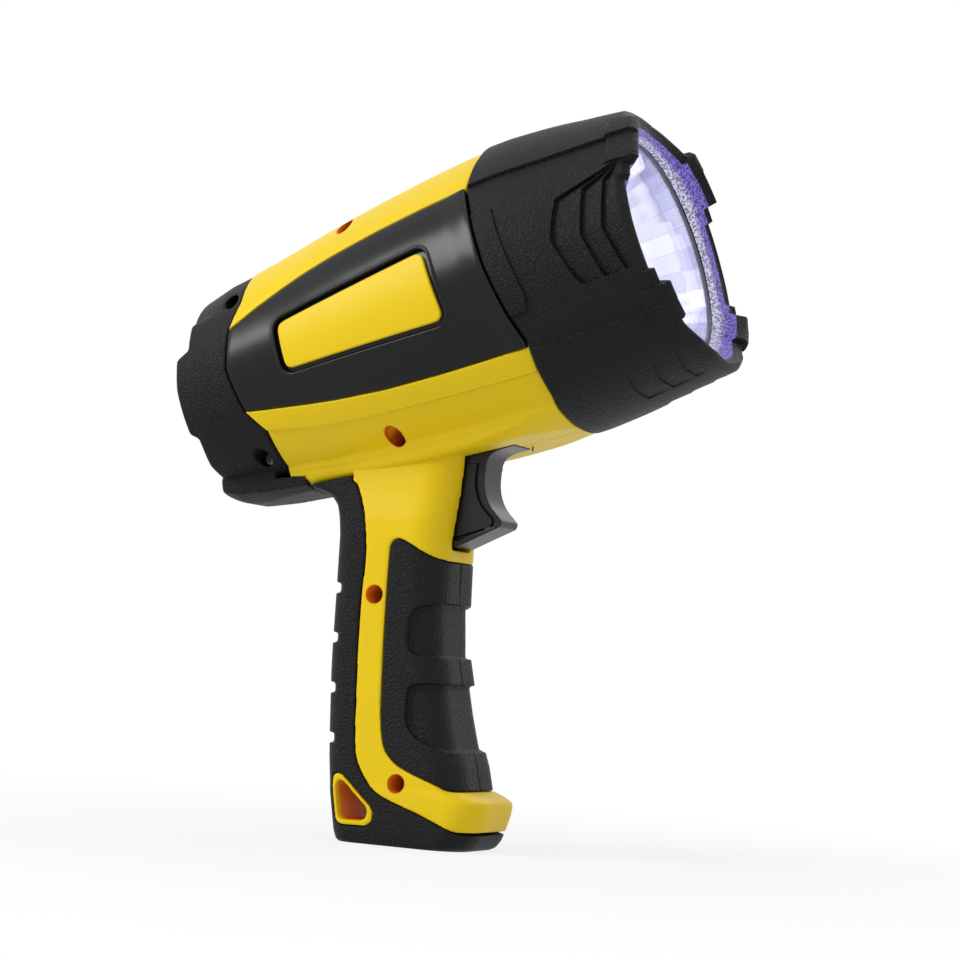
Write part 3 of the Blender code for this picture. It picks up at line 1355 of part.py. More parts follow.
def add_heat_sink(frames):
    """A finned aluminium plate, held at its rim in the casing's bulkhead."""
    rear, front = lamp_stations()["sink"]
    sink = turned("sink", [(front, 0), (front, SINK_RADIUS), (rear, SINK_RADIUS), (rear, 0)], frames.axis)
    for i in range(SINK_FIN_COUNT):
        middle = (i - (SINK_FIN_COUNT - 1) / 2) * SINK_FIN_PITCH
        joined(
            sink,
            block(
                "fin", rear - SINK_FIN_DEPTH, (rear + front) / 2, -SINK_FIN_HALF_HEIGHT, SINK_FIN_HALF_HEIGHT,
                middle + SINK_FIN_THICKNESS / 2, middle - SINK_FIN_THICKNESS / 2, frames.barrel,
            ),
        )
    hole = barrel_stud("lead_hole", LEAD_HOLE_RADIUS, rear - OVERRUN, front + OVERRUN, frames)
    cut(sink, shifted(hole, LEAD_HEIGHT, LEAD_SIDE))
    add_part("heat_sink", sink, material("cast_aluminium", (0.6, 0.61, 0.62), 0.4, 1.0))


def add_battery(frames, finishes):
    """Three cells in a moulded cradle that stands on the casing's rails."""
    rear = station(CELL_REAR_SHARE)
    front = rear + CELL_LENGTH
    wrap = material("cell_wrap", (0.05, 0.25, 0.5), 0.35)
    for i in range(CELL_COUNT):
        left = (i - (CELL_COUNT - 1) / 2) * CELL_PITCH
        tip = front + CELL_TERMINAL_HEIGHT
        profile = [
            (tip, 0), (tip, CELL_TERMINAL_RADIUS), (front, CELL_TERMINAL_RADIUS),
            (front, CELL_RADIUS), (rear, CELL_RADIUS), (rear, 0),
        ]
        cell = turned("cell", profile, frames.axis, ROD_SEGMENTS)
        add_part(f"battery_cell_{i + 1}", shifted(cell, CELL_HEIGHT, left), wrap)
    places = cradle_places()
    half = places["half_width"]
    top = CELL_HEIGHT + CRADLE_RISE
    rear, front, base = places["rear"], places["front"], places["base"]
    cradle = block("cradle", rear, front, base, places["under"], half, -half, frames.barrel)
    for end in (rear, front - CRADLE_END):
        wall = block("cradle_end", end, end + CRADLE_END, base, top, half, -half, frames.barrel)
        joined(cradle, wall)
    start, end = station(BOARD_STATION_SHARE) + FIT, rear + CRADLE_END / 2
    for left in (CRADLE_POST_PLACE, -CRADLE_POST_PLACE):
        post = barrel_stud("board_post", CRADLE_POST_RADIUS, start, end, frames)
        joined(cradle, shifted(post, places["under"], left))
    add_part("battery_cradle", cradle, finishes.dark)


def add_charging(frames, finishes):
    """The control board, the charging socket under its hinged cover, and the charge light."""
    front = station(BOARD_STATION_SHARE)
    rear = front - BOARD_THICKNESS
    tall, wide = BOARD_HALF_HEIGHT, BOARD_HALF_WIDTH
    board = block("board", rear, front, -tall, tall, wide, -wide, frames.barrel)
    add_part("control_board", board, finishes.board)
    socket_front = rear - FIT
    socket_rear = station(CAP_FACE_SHARE) + SOCKET_STAND
    mouth = socket_rear + SOCKET_BORE_DEPTH
    pin = socket_rear + SOCKET_PIN_SETBACK
    profile = [
        (socket_front, 0), (socket_front, SOCKET_RADIUS), (socket_rear, SOCKET_RADIUS),
        (socket_rear, SOCKET_BORE_RADIUS), (mouth, SOCKET_BORE_RADIUS), (mouth, SOCKET_PIN_RADIUS),
        (pin, SOCKET_PIN_RADIUS), (pin, 0),
    ]
    socket = turned("socket", profile, frames.axis, ROD_SEGMENTS)
    add_part("charge_socket", shifted(socket, SOCKET_HEIGHT, 0), finishes.dark)
    face = station(CAP_FACE_SHARE)
    start = face - FIT
    light = barrel_stud("indicator", INDICATOR_RADIUS, start, start + INDICATOR_LENGTH, frames)
    red = material("red_lens", (0.6, 0.03, 0.02), 0.2)
    add_part("charge_indicator", shifted(light, SOCKET_HEIGHT, INDICATOR_LEFT), red)
    along, height = cover_hinge()
    hinge_matrix = frames.barrel.matrix_world @ Matrix.Translation((along, height, 0))
    hinge = add_empty("cover_hinge", hinge_matrix)
    inner = face - FIT
    cover = barrel_stud("cover", COVER_RADIUS, inner - COVER_THICKNESS, inner, frames)
    shifted(cover, SOCKET_HEIGHT, 0)
    tab = block(
        "cover_tab", inner - COVER_THICKNESS, inner, SOCKET_HEIGHT, height,
        COVER_KNUCKLE_HALF_WIDTH, -COVER_KNUCKLE_HALF_WIDTH, frames.barrel,
    )
    half = COVER_KNUCKLE_HALF_WIDTH
    knuckle = rod("knuckle", (along, height), COVER_KNUCKLE_RADIUS, frames.barrel, half, -half)
    add_part("socket_cover", joined(cover, tab, knuckle), finishes.rubber, hinge)


def side_place(along, height, frames):
    """Side-view place in the handle's frame of a place in the barrel's."""
    place = (frames.barrel.matrix_world @ Matrix.Translation((along, height, 0))).translation
    return place.x, place.z


def add_leads(frames):
    """The wires from the board to the lamp, the battery and the switch."""
    red = material("red_wire", (0.5, 0.02, 0.02), 0.4)
    board_front = station(BOARD_STATION_SHARE) + FIT
    for name, end, height, right in (
        ("lamp_lead", lamp_stations()["board"][0] - FIT, LEAD_HEIGHT, -LEAD_SIDE),
        ("battery_lead", cradle_places()["rear"] - FIT, BATTERY_LEAD_HEIGHT, LEAD_SIDE),
    ):
        path = [(board_front, height, right), (end, height, right)]
        add_part(name, tube(name, path, LEAD_RADIUS, frames.barrel), red)
    rear, _, _, top = switch_box()
    post_along, post_height = barrel_screw_places()[1]
    post_x, post_z = side_place(post_along, post_height, frames)
    drop = cradle_places()["base"] - SWITCH_LEAD_DROP
    behind = post_x - SCREW_POST_RADIUS - SWITCH_LEAD_PASS
    route = [
        side_place(board_front, drop, frames),
        side_place((2 * board_front + post_along) / 3, drop - SWITCH_LEAD_SAG, frames),
        side_place((board_front + 2 * post_along) / 3, drop - 2 * SWITCH_LEAD_SAG, frames),
        (behind, post_z),
        (behind, post_z - SCREW_POST_RADIUS - SWITCH_LEAD_PASS),
        (rear - LEAD_SIDE / 2, top - LEAD_SIDE),
    ]
    path = [(x, z, 0) for x, z in [*eased(route), (rear - FIT, top - LEAD_SIDE)]]
    black = material("black_wire", (0.02, 0.02, 0.02), 0.4)
    add_part("switch_lead", tube("switch_wire", path, LEAD_RADIUS, frames.side), black)


def main():
    """Build every part."""
    side_turn = Matrix.Rotation(math.pi / 2, 4, "X")
    lens = Matrix.Translation((LENS_REACH, 0, LENS_HEIGHT))
    frames = Frames(
        foot=add_empty("foot_frame", Matrix.Identity(4)),
        side=add_empty("handle_side_frame", side_turn),
        barrel=add_empty("barrel_side_frame", lens @ Matrix.Rotation(-BARREL_TILT, 4, "Y") @ side_turn),
        axis=add_empty("barrel_axis_frame", lens @ Matrix.Rotation(math.pi / 2 - BARREL_TILT, 4, "Y")),
    )
    finishes = Finishes(
        yellow=material("yellow_plastic", (0.78, 0.6, 0.02), 0.35),
        rubber=material("black_rubber", (0.02, 0.02, 0.022), 0.6),
        gloss=material("gloss_black", (0.01, 0.01, 0.012), 0.12),
        steel=material("zinc_steel", (0.55, 0.55, 0.55), 0.35, 1.0),
        board=material("board_green", (0.02, 0.2, 0.08), 0.4),
        dark=material("dark_plastic", (0.05, 0.052, 0.056), 0.4),
    )
    add_housing(frames, finishes)
    add_side_panels(frames, finishes)
    add_bezel_guard(frames, finishes)
    add_rear_cap(frames, finishes)
    add_grips(frames, finishes)
    add_trigger(frames, finishes)
    add_switch(frames, finishes)
    add_screws(frames, finishes)
    add_lamp(frames, finishes)
    add_battery(frames, finishes)
    add_charging(frames, finishes)
    add_leads(frames)


main()
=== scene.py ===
"""Looks of the rechargeable pistol-grip spotlight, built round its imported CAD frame.

Shapes are modelled in millimetres in the row frame and brought to metres when a piece is finished.
A station is measured along the barrel's axis, forward from the lens, and an angle goes round that
axis from the holder's right side (0 degrees) over the top (90 degrees).
"""

import json
import logging
import math
from contextlib import contextmanager
from dataclasses import dataclass
from enum import Enum
from itertools import pairwise
from typing import Callable, Iterator, Sequence

import bpy
import numpy as np
from mathutils import Matrix, Vector

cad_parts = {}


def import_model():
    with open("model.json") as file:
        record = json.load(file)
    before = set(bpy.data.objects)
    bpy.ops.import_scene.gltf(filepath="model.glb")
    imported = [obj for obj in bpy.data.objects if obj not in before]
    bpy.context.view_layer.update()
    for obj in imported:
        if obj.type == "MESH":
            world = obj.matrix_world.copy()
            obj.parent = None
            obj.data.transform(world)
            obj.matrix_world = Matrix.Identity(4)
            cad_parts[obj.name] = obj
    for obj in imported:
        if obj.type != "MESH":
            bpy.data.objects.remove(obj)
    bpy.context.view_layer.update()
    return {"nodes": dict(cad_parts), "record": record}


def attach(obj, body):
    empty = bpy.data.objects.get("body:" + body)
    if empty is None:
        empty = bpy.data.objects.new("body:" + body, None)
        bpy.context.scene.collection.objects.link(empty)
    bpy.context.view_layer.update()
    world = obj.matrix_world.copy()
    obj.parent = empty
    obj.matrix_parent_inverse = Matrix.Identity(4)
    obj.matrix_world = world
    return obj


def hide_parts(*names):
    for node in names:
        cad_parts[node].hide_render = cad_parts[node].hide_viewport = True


log = logging.getLogger("spotlight")

MM = 0.001
TILT = math.radians(18.8)
LENS_POINT = np.array((81.2, 0.0, 201.4))
FORWARD = np.array((math.cos(TILT), 0.0, math.sin(TILT)))
ACROSS = np.array((0.0, 1.0, 0.0))
RISING = np.array((-math.sin(TILT), 0.0, math.cos(TILT)))
GAP = 0.3
BEYOND = 40.0
AWAY = 60.0
CURVE_STEP = 0.25

Piece = bpy.types.Object
Tree = bpy.types.NodeTree
Node = bpy.types.Node
Socket = bpy.types.NodeSocket
Material = bpy.types.Material
Pair = tuple[float, float]
Triple = tuple[float, float, float]
Points = Sequence[Pair]
Curve = Callable[[np.ndarray], np.ndarray]


class Side(Enum):
    """The holder's two sides, by the sign of Y."""

    RIGHT = -1
    LEFT = 1


class Fitting(Enum):
    """How one solid changes another."""

    ADD = "UNION"
    TAKE = "DIFFERENCE"
    KEEP = "INTERSECT"


def on_barrel(station: np.ndarray, radius: np.ndarray, angle: np.ndarray) -> np.ndarray:
    """Points of the row frame from stations, radii and angles round the barrel.

    Args:
        station: distances along the axis, forward from the lens.
        radius: distances from the axis.
        angle: degrees from the right side over the top.

    Returns:
        The points, with their three coordinates last.
    """
    turn = np.radians(angle)
    height = radius * np.sin(turn)
    left = -radius * np.cos(turn)
    return (
        LENS_POINT
        + station[..., None] * FORWARD
        + left[..., None] * ACROSS
        + height[..., None] * RISING
    )


def folded(turn: np.ndarray) -> np.ndarray:
    """Angles over either side's top for turns all round the axis, in degrees."""
    return np.degrees(np.arctan2(np.sin(np.radians(turn)), np.abs(np.cos(np.radians(turn)))))


def eased(points: Points, width: float = 5.0) -> Curve:
    """A smooth curve near a table of values.

    Args:
        points: pairs of place and value.
        width: how far a corner of the table is rounded.

    Returns:
        A function of the place.
    """
    table = np.array(sorted(points), float)
    reach = 4 * width
    places = np.arange(table[0, 0] - reach, table[-1, 0] + reach, CURVE_STEP)
    first = (table[1, 1] - table[0, 1]) / (table[1, 0] - table[0, 0])
    last = (table[-1, 1] - table[-2, 1]) / (table[-1, 0] - table[-2, 0])
    values = np.interp(places, table[:, 0], table[:, 1])
    values += np.minimum(places - table[0, 0], 0) * first + np.maximum(places - table[-1, 0], 0) * last
    count = max(int(width / CURVE_STEP), 1) | 1
    window = np.hanning(count + 2)[1:-1]
    window /= window.sum()
    padded = np.pad(values, count // 2, mode="reflect", reflect_type="odd")
    values = np.convolve(padded, window, mode="valid")
    return lambda x: np.interp(x, places, values)


def stepped(points: Points) -> Curve:
    """A table of values joined by straight lines."""
    table = np.array(sorted(points), float)
    return lambda x: np.interp(x, table[:, 0], table[:, 1])


def level(value: float) -> Curve:
    """The same value everywhere."""
    return lambda x: np.full_like(np.asarray(x, float), value)


def ramp(x: np.ndarray, start: float | np.ndarray, width: float) -> np.ndarray:
    """A soft rise from 0 to 1 that is halfway up at start."""
    t = np.clip((x - start) / width + 0.5, 0, 1)
    return t * t * (3 - 2 * t)


def flowing(points: Points, steps: int = 6) -> list[Pair]:
    """A smooth run through points of a side view, from the first to the last."""
    result = []
    for i, (start, end) in enumerate(pairwise(points)):
        before, after = points[max(i - 1, 0)], points[min(i + 2, len(points) - 1)]
        for t in np.arange(steps) / steps:
            result.append(
                tuple(
                    b + t * (c - a + t * (2 * a - 5 * b + 4 * c - d + t * (3 * b - 3 * c + d - a))) / 2
                    for a, b, c, d in zip(before, start, end, after)
                )
            )
    return [*result, tuple(points[-1])]


def offset(outline: Points, distance: float) -> list[Pair]:
    """A closed outline moved outwards by a distance, or inwards by a negative one."""
    ring = np.array(outline, float)
    ring = ring[np.linalg.norm(ring - np.roll(ring, 1, axis=0), axis=1) > 1e-6]
    after, before = np.roll(ring, -1, axis=0), np.roll(ring, 1, axis=0)
    area = np.sum(ring[:, 0] * after[:, 1] - after[:, 0] * ring[:, 1])
    into, out = ring - before, after - ring
    into /= np.linalg.norm(into, axis=1)[:, None]
    out /= np.linalg.norm(out, axis=1)[:, None]
    middle = into + out
    middle /= np.linalg.norm(middle, axis=1)[:, None]
    normal = np.stack((middle[:, 1], -middle[:, 0]), axis=1) * np.sign(area)
    cosine = np.maximum(np.sum(middle * into, axis=1), 0.45)
    return [tuple(point) for point in ring + normal * (distance / cosine)[:, None]]


def deselect() -> None:
    """Leave nothing selected."""
    if bpy.context.mode != "OBJECT":
        bpy.ops.object.mode_set(mode="OBJECT")
    bpy.ops.object.select_all(action="DESELECT")


def pick(piece: Piece) -> None:
    """Select one piece and make it the active one."""
    deselect()
    piece.select_set(True)
    bpy.context.view_layer.objects.active = piece


@contextmanager
def editing(piece: Piece) -> Iterator[None]:
    """Edit mode on one piece, with all of it selected."""
    pick(piece)
    bpy.ops.object.mode_set(mode="EDIT")
    bpy.ops.mesh.select_all(action="SELECT")
    yield
    bpy.ops.object.mode_set(mode="OBJECT")


def corners(piece: Piece) -> np.ndarray:
    """Coordinates of a piece's vertices."""
    values = np.empty(3 * len(piece.data.vertices), np.float32)
    piece.data.vertices.foreach_get("co", values)
    return values.reshape(-1, 3).astype(float)


def set_corners(piece: Piece, points: np.ndarray) -> None:
    """Move a piece's vertices to the given coordinates."""
    piece.data.vertices.foreach_set("co", points.astype(np.float32).ravel())
    piece.data.update()


def tidied(piece: Piece, distance: float = 0.004) -> Piece:
    """Merge doubles and turn every face outwards."""
    with editing(piece):
        bpy.ops.mesh.remove_doubles(threshold=distance)
        bpy.ops.mesh.normals_make_consistent(inside=False)
    return piece


def laid(name: str, rows: np.ndarray) -> Piece:
    """A grid laid through rows of points, closed where its edges meet.

    Args:
        name: name of the piece.
        rows: points by row and by column, with three coordinates last.

    Returns:
        The piece, with its doubles merged.
    """
    count, across = rows.shape[:2]
    deselect()
    bpy.ops.mesh.primitive_grid_add(x_subdivisions=across - 1, y_subdivisions=count - 1, size=1)
    piece = bpy.context.object
    piece.name = name
    flat = corners(piece)
    column = np.rint((flat[:, 0] + 0.5) * (across - 1)).astype(int)
    row = np.rint((flat[:, 1] + 0.5) * (count - 1)).astype(int)
    set_corners(piece, rows[row, column])
    return tidied(piece)


def hooped(rings: np.ndarray) -> np.ndarray:
    """Rings with their first point repeated at the end and a pole at both ends of the stack."""
    closed = np.concatenate((rings, rings[:, :1]), axis=1)
    poles = [np.repeat(ring.mean(axis=0)[None], closed.shape[1], axis=0) for ring in (rings[0], rings[-1])]
    return np.concatenate((poles[0][None], closed, poles[1][None]))


def slab(name: str, outline: Points, left: float, right: float) -> Piece:
    """A side-view outline extruded across the object.

    Args:
        name: name of the piece.
        outline: closed outline as X and Z.
        left: Y of its left face.
        right: Y of its right face.

    Returns:
        The closed solid.
    """
    deselect()
    bpy.ops.mesh.primitive_circle_add(vertices=len(outline), radius=1, fill_type="NGON")
    piece = bpy.context.object
    piece.name = name
    set_corners(piece, np.array([(x, right, z) for x, z in outline]))
    with editing(piece):
        bpy.ops.mesh.extrude_region_move(TRANSFORM_OT_translate={"value": (0, left - right, 0)})
        bpy.ops.mesh.select_all(action="SELECT")
        bpy.ops.mesh.normals_make_consistent(inside=False)
    return piece


def through(name: str, outline: Points) -> Piece:
    """A side-view outline extruded right through the object."""
    return slab(name, outline, BEYOND, -BEYOND)


def side_view(points: Points) -> list[Pair]:
    """X and Z of places given by station and height above the axis."""
    return [
        (LENS_POINT[0] + s * FORWARD[0] + h * RISING[0], LENS_POINT[2] + s * FORWARD[2] + h * RISING[2])
        for s, h in points
    ]


def spun(name: str, profile: Points, steps: int = 96) -> Piece:
    """A profile of station and radius spun round the barrel's axis.

    Args:
        name: name of the piece.
        profile: closed profile, which may start and end on the axis.
        steps: number of sectors.

    Returns:
        The closed solid.
    """
    deselect()
    bpy.ops.mesh.primitive_circle_add(vertices=len(profile), radius=1)
    piece = bpy.context.object
    piece.name = name
    station, radius = np.array(profile, float).T
    set_corners(piece, on_barrel(station, radius, np.full_like(station, 90.0)))
    on_axis = profile[0][1] == 0 and profile[-1][1] == 0
    with editing(piece):
        if on_axis:
            bpy.ops.object.mode_set(mode="OBJECT")
            last = len(profile) - 1
            for edge in piece.data.edges:
                edge.select = set(edge.vertices) == {0, last}
            for point in piece.data.vertices:
                point.select = False
            bpy.ops.object.mode_set(mode="EDIT")
            bpy.ops.mesh.select_mode(type="EDGE")
            bpy.ops.mesh.delete(type="EDGE")
            bpy.ops.mesh.select_mode(type="VERT")
            bpy.ops.mesh.select_all(action="SELECT")
        bpy.ops.mesh.spin(
            steps=steps, angle=math.tau, center=LENS_POINT, axis=FORWARD, use_auto_merge=True
        )
    return tidied(piece)


def revolved(name: str, outside: Points) -> Piece:
    """A solid of revolution under a line of stations and radii."""
    return spun(name, [(outside[0][0], 0), *outside, (outside[-1][0], 0)])


class Rows:
    """Rows round the barrel's axis, each with a station and a radius for every column."""

    def __init__(self, turn: np.ndarray) -> None:
        """Start without rows, given the turn of every column in degrees."""
        self.turn = turn
        self.station: list[np.ndarray] = []
        self.radius: list[np.ndarray] = []

    def add(self, station: np.ndarray | float, radius: np.ndarray | float) -> None:
        """Add a row."""
        self.station.append(np.broadcast_to(station, self.turn.shape))
        self.radius.append(np.broadcast_to(radius, self.turn.shape))

    def close(self) -> None:
        """Repeat the first row at the end."""
        self.add(self.station[0], self.radius[0])

    def laid(self, name: str) -> Piece:
        """A piece laid through the rows."""
        station = np.array(self.station)
        turn = np.broadcast_to(self.turn, station.shape)
        return laid(name, on_barrel(station, np.array(self.radius), turn))


def post(name: str, place: Pair, radius: float, left: float, right: float) -> Piece:
    """A round post across the object at a side-view place."""
    deselect()
    bpy.ops.mesh.primitive_cylinder_add(
        vertices=64, radius=radius, depth=left - right, location=(place[0], (left + right) / 2, place[1]),
        rotation=(math.pi / 2, 0, 0),
    )
    piece = bpy.context.object
    piece.name = name
    bpy.ops.object.transform_apply(location=True, rotation=True, scale=True)
    return piece


def applied(piece: Piece, kind: str, **settings: object) -> Piece:
    """Add a modifier with its settings and apply it."""
    modifier = piece.modifiers.new(kind.lower(), kind)
    for name, value in settings.items():
        setattr(modifier, name, value)
    pick(piece)
    bpy.ops.object.modifier_apply(modifier=modifier.name)
    return piece


def fitted(piece: Piece, fitting: Fitting, *tools: Piece) -> Piece:
    """A piece after a Boolean with each tool in turn, which uses the tools up."""
    for tool in tools:
        applied(piece, "BOOLEAN", operation=fitting.value, solver="EXACT", object=tool)
        bpy.data.objects.remove(tool)
    return piece


def softened(piece: Piece, voxel: float, rounds: int) -> Piece:
    """A piece remeshed into small even faces, with its edges rounded."""
    applied(piece, "REMESH", mode="VOXEL", voxel_size=voxel, adaptivity=0.0)
    return applied(piece, "SMOOTH", factor=0.5, iterations=rounds)


def thinned(piece: Piece, limit: int) -> Piece:
    """A piece with at most the given number of triangles."""
    count = sum(len(face.vertices) - 2 for face in piece.data.polygons)
    if count > limit:
        applied(piece, "DECIMATE", ratio=limit / count)
    return piece


def copied(piece: Piece, name: str) -> Piece:
    """A copy with its own mesh."""
    pick(piece)
    bpy.ops.object.duplicate()
    twin = bpy.context.object
    twin.name = name
    return twin


def mirrored(piece: Piece, name: str) -> Piece:
    """A copy reflected to the other side of the object."""
    twin = copied(piece, name)
    set_corners(twin, corners(twin) * (1, -1, 1))
    with editing(twin):
        bpy.ops.mesh.normals_make_consistent(inside=False)
    return twin


def united(name: str, *pieces: Piece) -> Piece:
    """Several meshes as one piece."""
    pick(pieces[0])
    for piece in pieces[1:]:
        piece.select_set(True)
    bpy.ops.object.join()
    pieces[0].name = name
    return pieces[0]


# Finishes


class Maker:
    """Short ways to add and join the nodes of one tree."""

    def __init__(self, tree: Tree) -> None:
        """Work on the tree of a material or a group."""
        self.tree = tree

    def feed(self, slot: Socket, value: "Socket | float | Sequence[float]") -> None:
        """Link a slot to a socket, or set it to a plain value."""
        if isinstance(value, Socket):
            self.tree.links.new(value, slot)
        else:
            slot.default_value = value

    def add(self, kind: str, values: "dict[str | int, object]", **settings: object) -> Node:
        """A node with its settings and its inputs.

        Args:
            kind: type of the node, without the words that every type starts with.
            values: sockets or plain values for its inputs, by name or number.
            settings: the node's own settings.

        Returns:
            The node.
        """
        node = self.tree.nodes.new("ShaderNode" + kind)
        for name, value in settings.items():
            setattr(node, name, value)
        for key, value in values.items():
            self.feed(node.inputs[key], value)
        return node

    def math(self, operation: str, *values: "Socket | float") -> Socket:
        """A Math node fed with sockets or numbers."""
        return self.add("Math", dict(enumerate(values)), operation=operation).outputs[0]

    def vector(self, operation: str, *values: "Socket | Sequence[float]") -> Node:
        """A Vector Math node fed with sockets or vectors."""
        return self.add("VectorMath", dict(enumerate(values)), operation=operation)

    def mapped(self, value: Socket, low: float, high: float, start: float = 0, end: float = 1) -> Socket:
        """A value brought softly from one range to another."""
        values = {"Value": value, "From Min": low, "From Max": high, "To Min": start, "To Max": end}
        return self.add("MapRange", values, interpolation_type="SMOOTHSTEP").outputs["Result"]

    def mixed(self, factor: Socket, first: "Socket | Triple", second: "Socket | Triple") -> Socket:
        """Two colours mixed by a factor."""
        node = self.add("Mix", {"Factor": factor}, data_type="RGBA")
        for label, colour in (("A", first), ("B", second)):
            slot = next(s for s in node.inputs if s.name == label and s.type == "RGBA")
            self.feed(slot, (*colour, 1) if isinstance(colour, tuple) else colour)
        return next(s for s in node.outputs if s.type == "RGBA")


@dataclass(frozen=True)
class Shared:
    """A node group that several materials share, with the names and kinds of its sockets."""

    name: str
    takes: tuple[tuple[str, str], ...]
    gives: tuple[tuple[str, str], ...]

    def wire(self, make: Maker, start: "dict[str, Socket]", end: "dict[str, Socket]") -> None:
        """Join the group's inputs to its outputs."""
        raise NotImplementedError

    def group(self) -> Tree:
        """The shader node group, built once."""
        known = bpy.data.node_groups.get(self.name)
        if known:
            return known
        tree = bpy.data.node_groups.new(self.name, "ShaderNodeTree")
        for way, sockets in (("INPUT", self.takes), ("OUTPUT", self.gives)):
            for label, kind in sockets:
                tree.interface.new_socket(name=label, in_out=way, socket_type="NodeSocket" + kind)
        start, end = tree.nodes.new("NodeGroupInput"), tree.nodes.new("NodeGroupOutput")
        self.wire(Maker(tree), start.outputs, end.inputs)
        return tree


@dataclass(frozen=True)
class Grain(Shared):
    """Slow colour drift and fine surface noise that several finishes share."""

    name: str = "surface_grain"
    takes: tuple[tuple[str, str], ...] = (
        ("Vector", "Vector"), ("Colour", "Color"), ("Tint", "Color"), ("Drift", "Float"),
        ("Roughness", "Float"), ("Unevenness", "Float"), ("Grain Size", "Float"),
    )
    gives: tuple[tuple[str, str], ...] = (("Colour", "Color"), ("Roughness", "Float"), ("Height", "Float"))
    slow_scale: float = 26.0

    def wire(self, make: Maker, start: "dict[str, Socket]", end: "dict[str, Socket]") -> None:
        """Join the group's inputs to its outputs."""
        place = start["Vector"]
        slow = make.add("TexNoise", {"Vector": place, "Scale": self.slow_scale, "Detail": 3.0}).outputs["Fac"]
        fine = make.add("TexNoise", {"Vector": place, "Scale": start["Grain Size"], "Detail": 2.0})
        share = make.math("MULTIPLY", slow, start["Drift"])
        make.feed(end["Colour"], make.mixed(share, start["Colour"], start["Tint"]))
        uneven = make.math("MULTIPLY_ADD", slow, start["Unevenness"], start["Roughness"])
        make.feed(end["Roughness"], uneven)
        make.feed(end["Height"], fine.outputs["Fac"])


@dataclass(frozen=True)
class Pebble(Shared):
    """A fine leather pebble, as moulded into rubber."""

    name: str = "leather_pebble"
    takes: tuple[tuple[str, str], ...] = (("Vector", "Vector"), ("Cells", "Float"))
    gives: tuple[tuple[str, str], ...] = (("Height", "Float"),)
    stir_scale: float = 700.0
    stir_reach: float = 0.0007
    rounding: float = 0.32

    def wire(self, make: Maker, start: "dict[str, Socket]", end: "dict[str, Socket]") -> None:
        """Join the group's inputs to its outputs."""
        stir = make.add("TexNoise", {"Vector": start["Vector"], "Scale": self.stir_scale}).outputs["Color"]
        move = make.vector("MULTIPLY_ADD", stir, (self.stir_reach,) * 3, start["Vector"]).outputs["Vector"]
        values = {"Vector": move, "Scale": start["Cells"]}
        cells = make.add("TexVoronoi", values, feature="DISTANCE_TO_EDGE")
        make.feed(end["Height"], make.mapped(cells.outputs["Distance"], 0, self.rounding))


@dataclass(frozen=True)
class BarrelPlace(Shared):
    """Where a point lies on the barrel: its station and radius in metres and its turn in radians."""

    name: str = "barrel_place"
    takes: tuple[tuple[str, str], ...] = (("Vector", "Vector"),)
    gives: tuple[tuple[str, str], ...] = (("Station", "Float"), ("Radius", "Float"), ("Turn", "Float"))

    def wire(self, make: Maker, start: "dict[str, Socket]", end: "dict[str, Socket]") -> None:
        """Join the group's inputs to its outputs."""
        local = make.vector("SUBTRACT", start["Vector"], tuple(LENS_POINT * MM)).outputs["Vector"]
        along, left, height = (
            make.vector("DOT_PRODUCT", local, tuple(way)).outputs["Value"]
            for way in (FORWARD, ACROSS, RISING)
        )
        off_axis = make.vector("CROSS_PRODUCT", local, tuple(FORWARD)).outputs["Vector"]
        make.feed(end["Station"], along)
        make.feed(end["Radius"], make.vector("LENGTH", off_axis).outputs["Value"])
        make.feed(end["Turn"], make.math("ARCTAN2", height, left))


class Dresser(Maker):
    """Short ways to work on one material."""

    def __init__(self, material: Material) -> None:
        """Find the material's shader and add its place on the object."""
        super().__init__(material.node_tree)
        self.shader = self.tree.nodes["Principled BSDF"].inputs
        self.place = self.add("TexCoord", {}).outputs["Object"]

    def shared(self, group: Shared, **values: object) -> "dict[str, Socket]":
        """The outputs of a shared group at this material's place."""
        node = self.add("Group", {"Vector": self.place}, node_tree=group.group())
        for name, value in values.items():
            self.feed(node.inputs[name.replace("_", " ").title()], value)
        return node.outputs

    def bumped(self, height: Socket, relief: float) -> None:
        """Let a height stand out of the surface by a relief in millimetres."""
        values = {"Strength": 1.0, "Distance": relief * MM, "Height": height}
        self.feed(self.shader["Normal"], self.add("Bump", values).outputs["Normal"])


@dataclass(frozen=True)
class Finish:
    """A finish with slow drift and fine grain.

    Colours are linear, the grain size is in grains per metre and the relief in millimetres.
    """

    name: str
    colour: Triple
    tint: Triple
    drift: float = 0.5
    roughness: float = 0.4
    unevenness: float = 0.08
    metallic: float = 0.0
    grain: float = 1500.0
    relief: float = 0.01
    specular: float = 0.5
    coat: float = 0.0
    coat_roughness: float = 0.05

    def grained(self, make: Dresser) -> Socket:
        """Feed colour and roughness from the shared grain, and give its height."""
        grain = make.shared(
            Grain(), colour=(*self.colour, 1), tint=(*self.tint, 1), drift=self.drift,
            roughness=self.roughness, unevenness=self.unevenness, grain_size=self.grain,
        )
        make.feed(make.shader["Base Color"], grain["Colour"])
        make.feed(make.shader["Roughness"], grain["Roughness"])
        return grain["Height"]

    def dress(self, make: Dresser) -> None:
        """Feed the shader's colour, roughness and relief."""
        make.bumped(self.grained(make), self.relief)

    def material(self) -> Material:
        """The finished material."""
        material = bpy.data.materials.new(self.name)
        material.use_nodes = True
        material.diffuse_color = (*self.colour, 1)
        make = Dresser(material)
        make.feed(make.shader["Metallic"], self.metallic)
        make.feed(make.shader["Specular IOR Level"], self.specular)
        make.feed(make.shader["Coat Weight"], self.coat)
        make.feed(make.shader["Coat Roughness"], self.coat_roughness)
        self.dress(make)
        return material


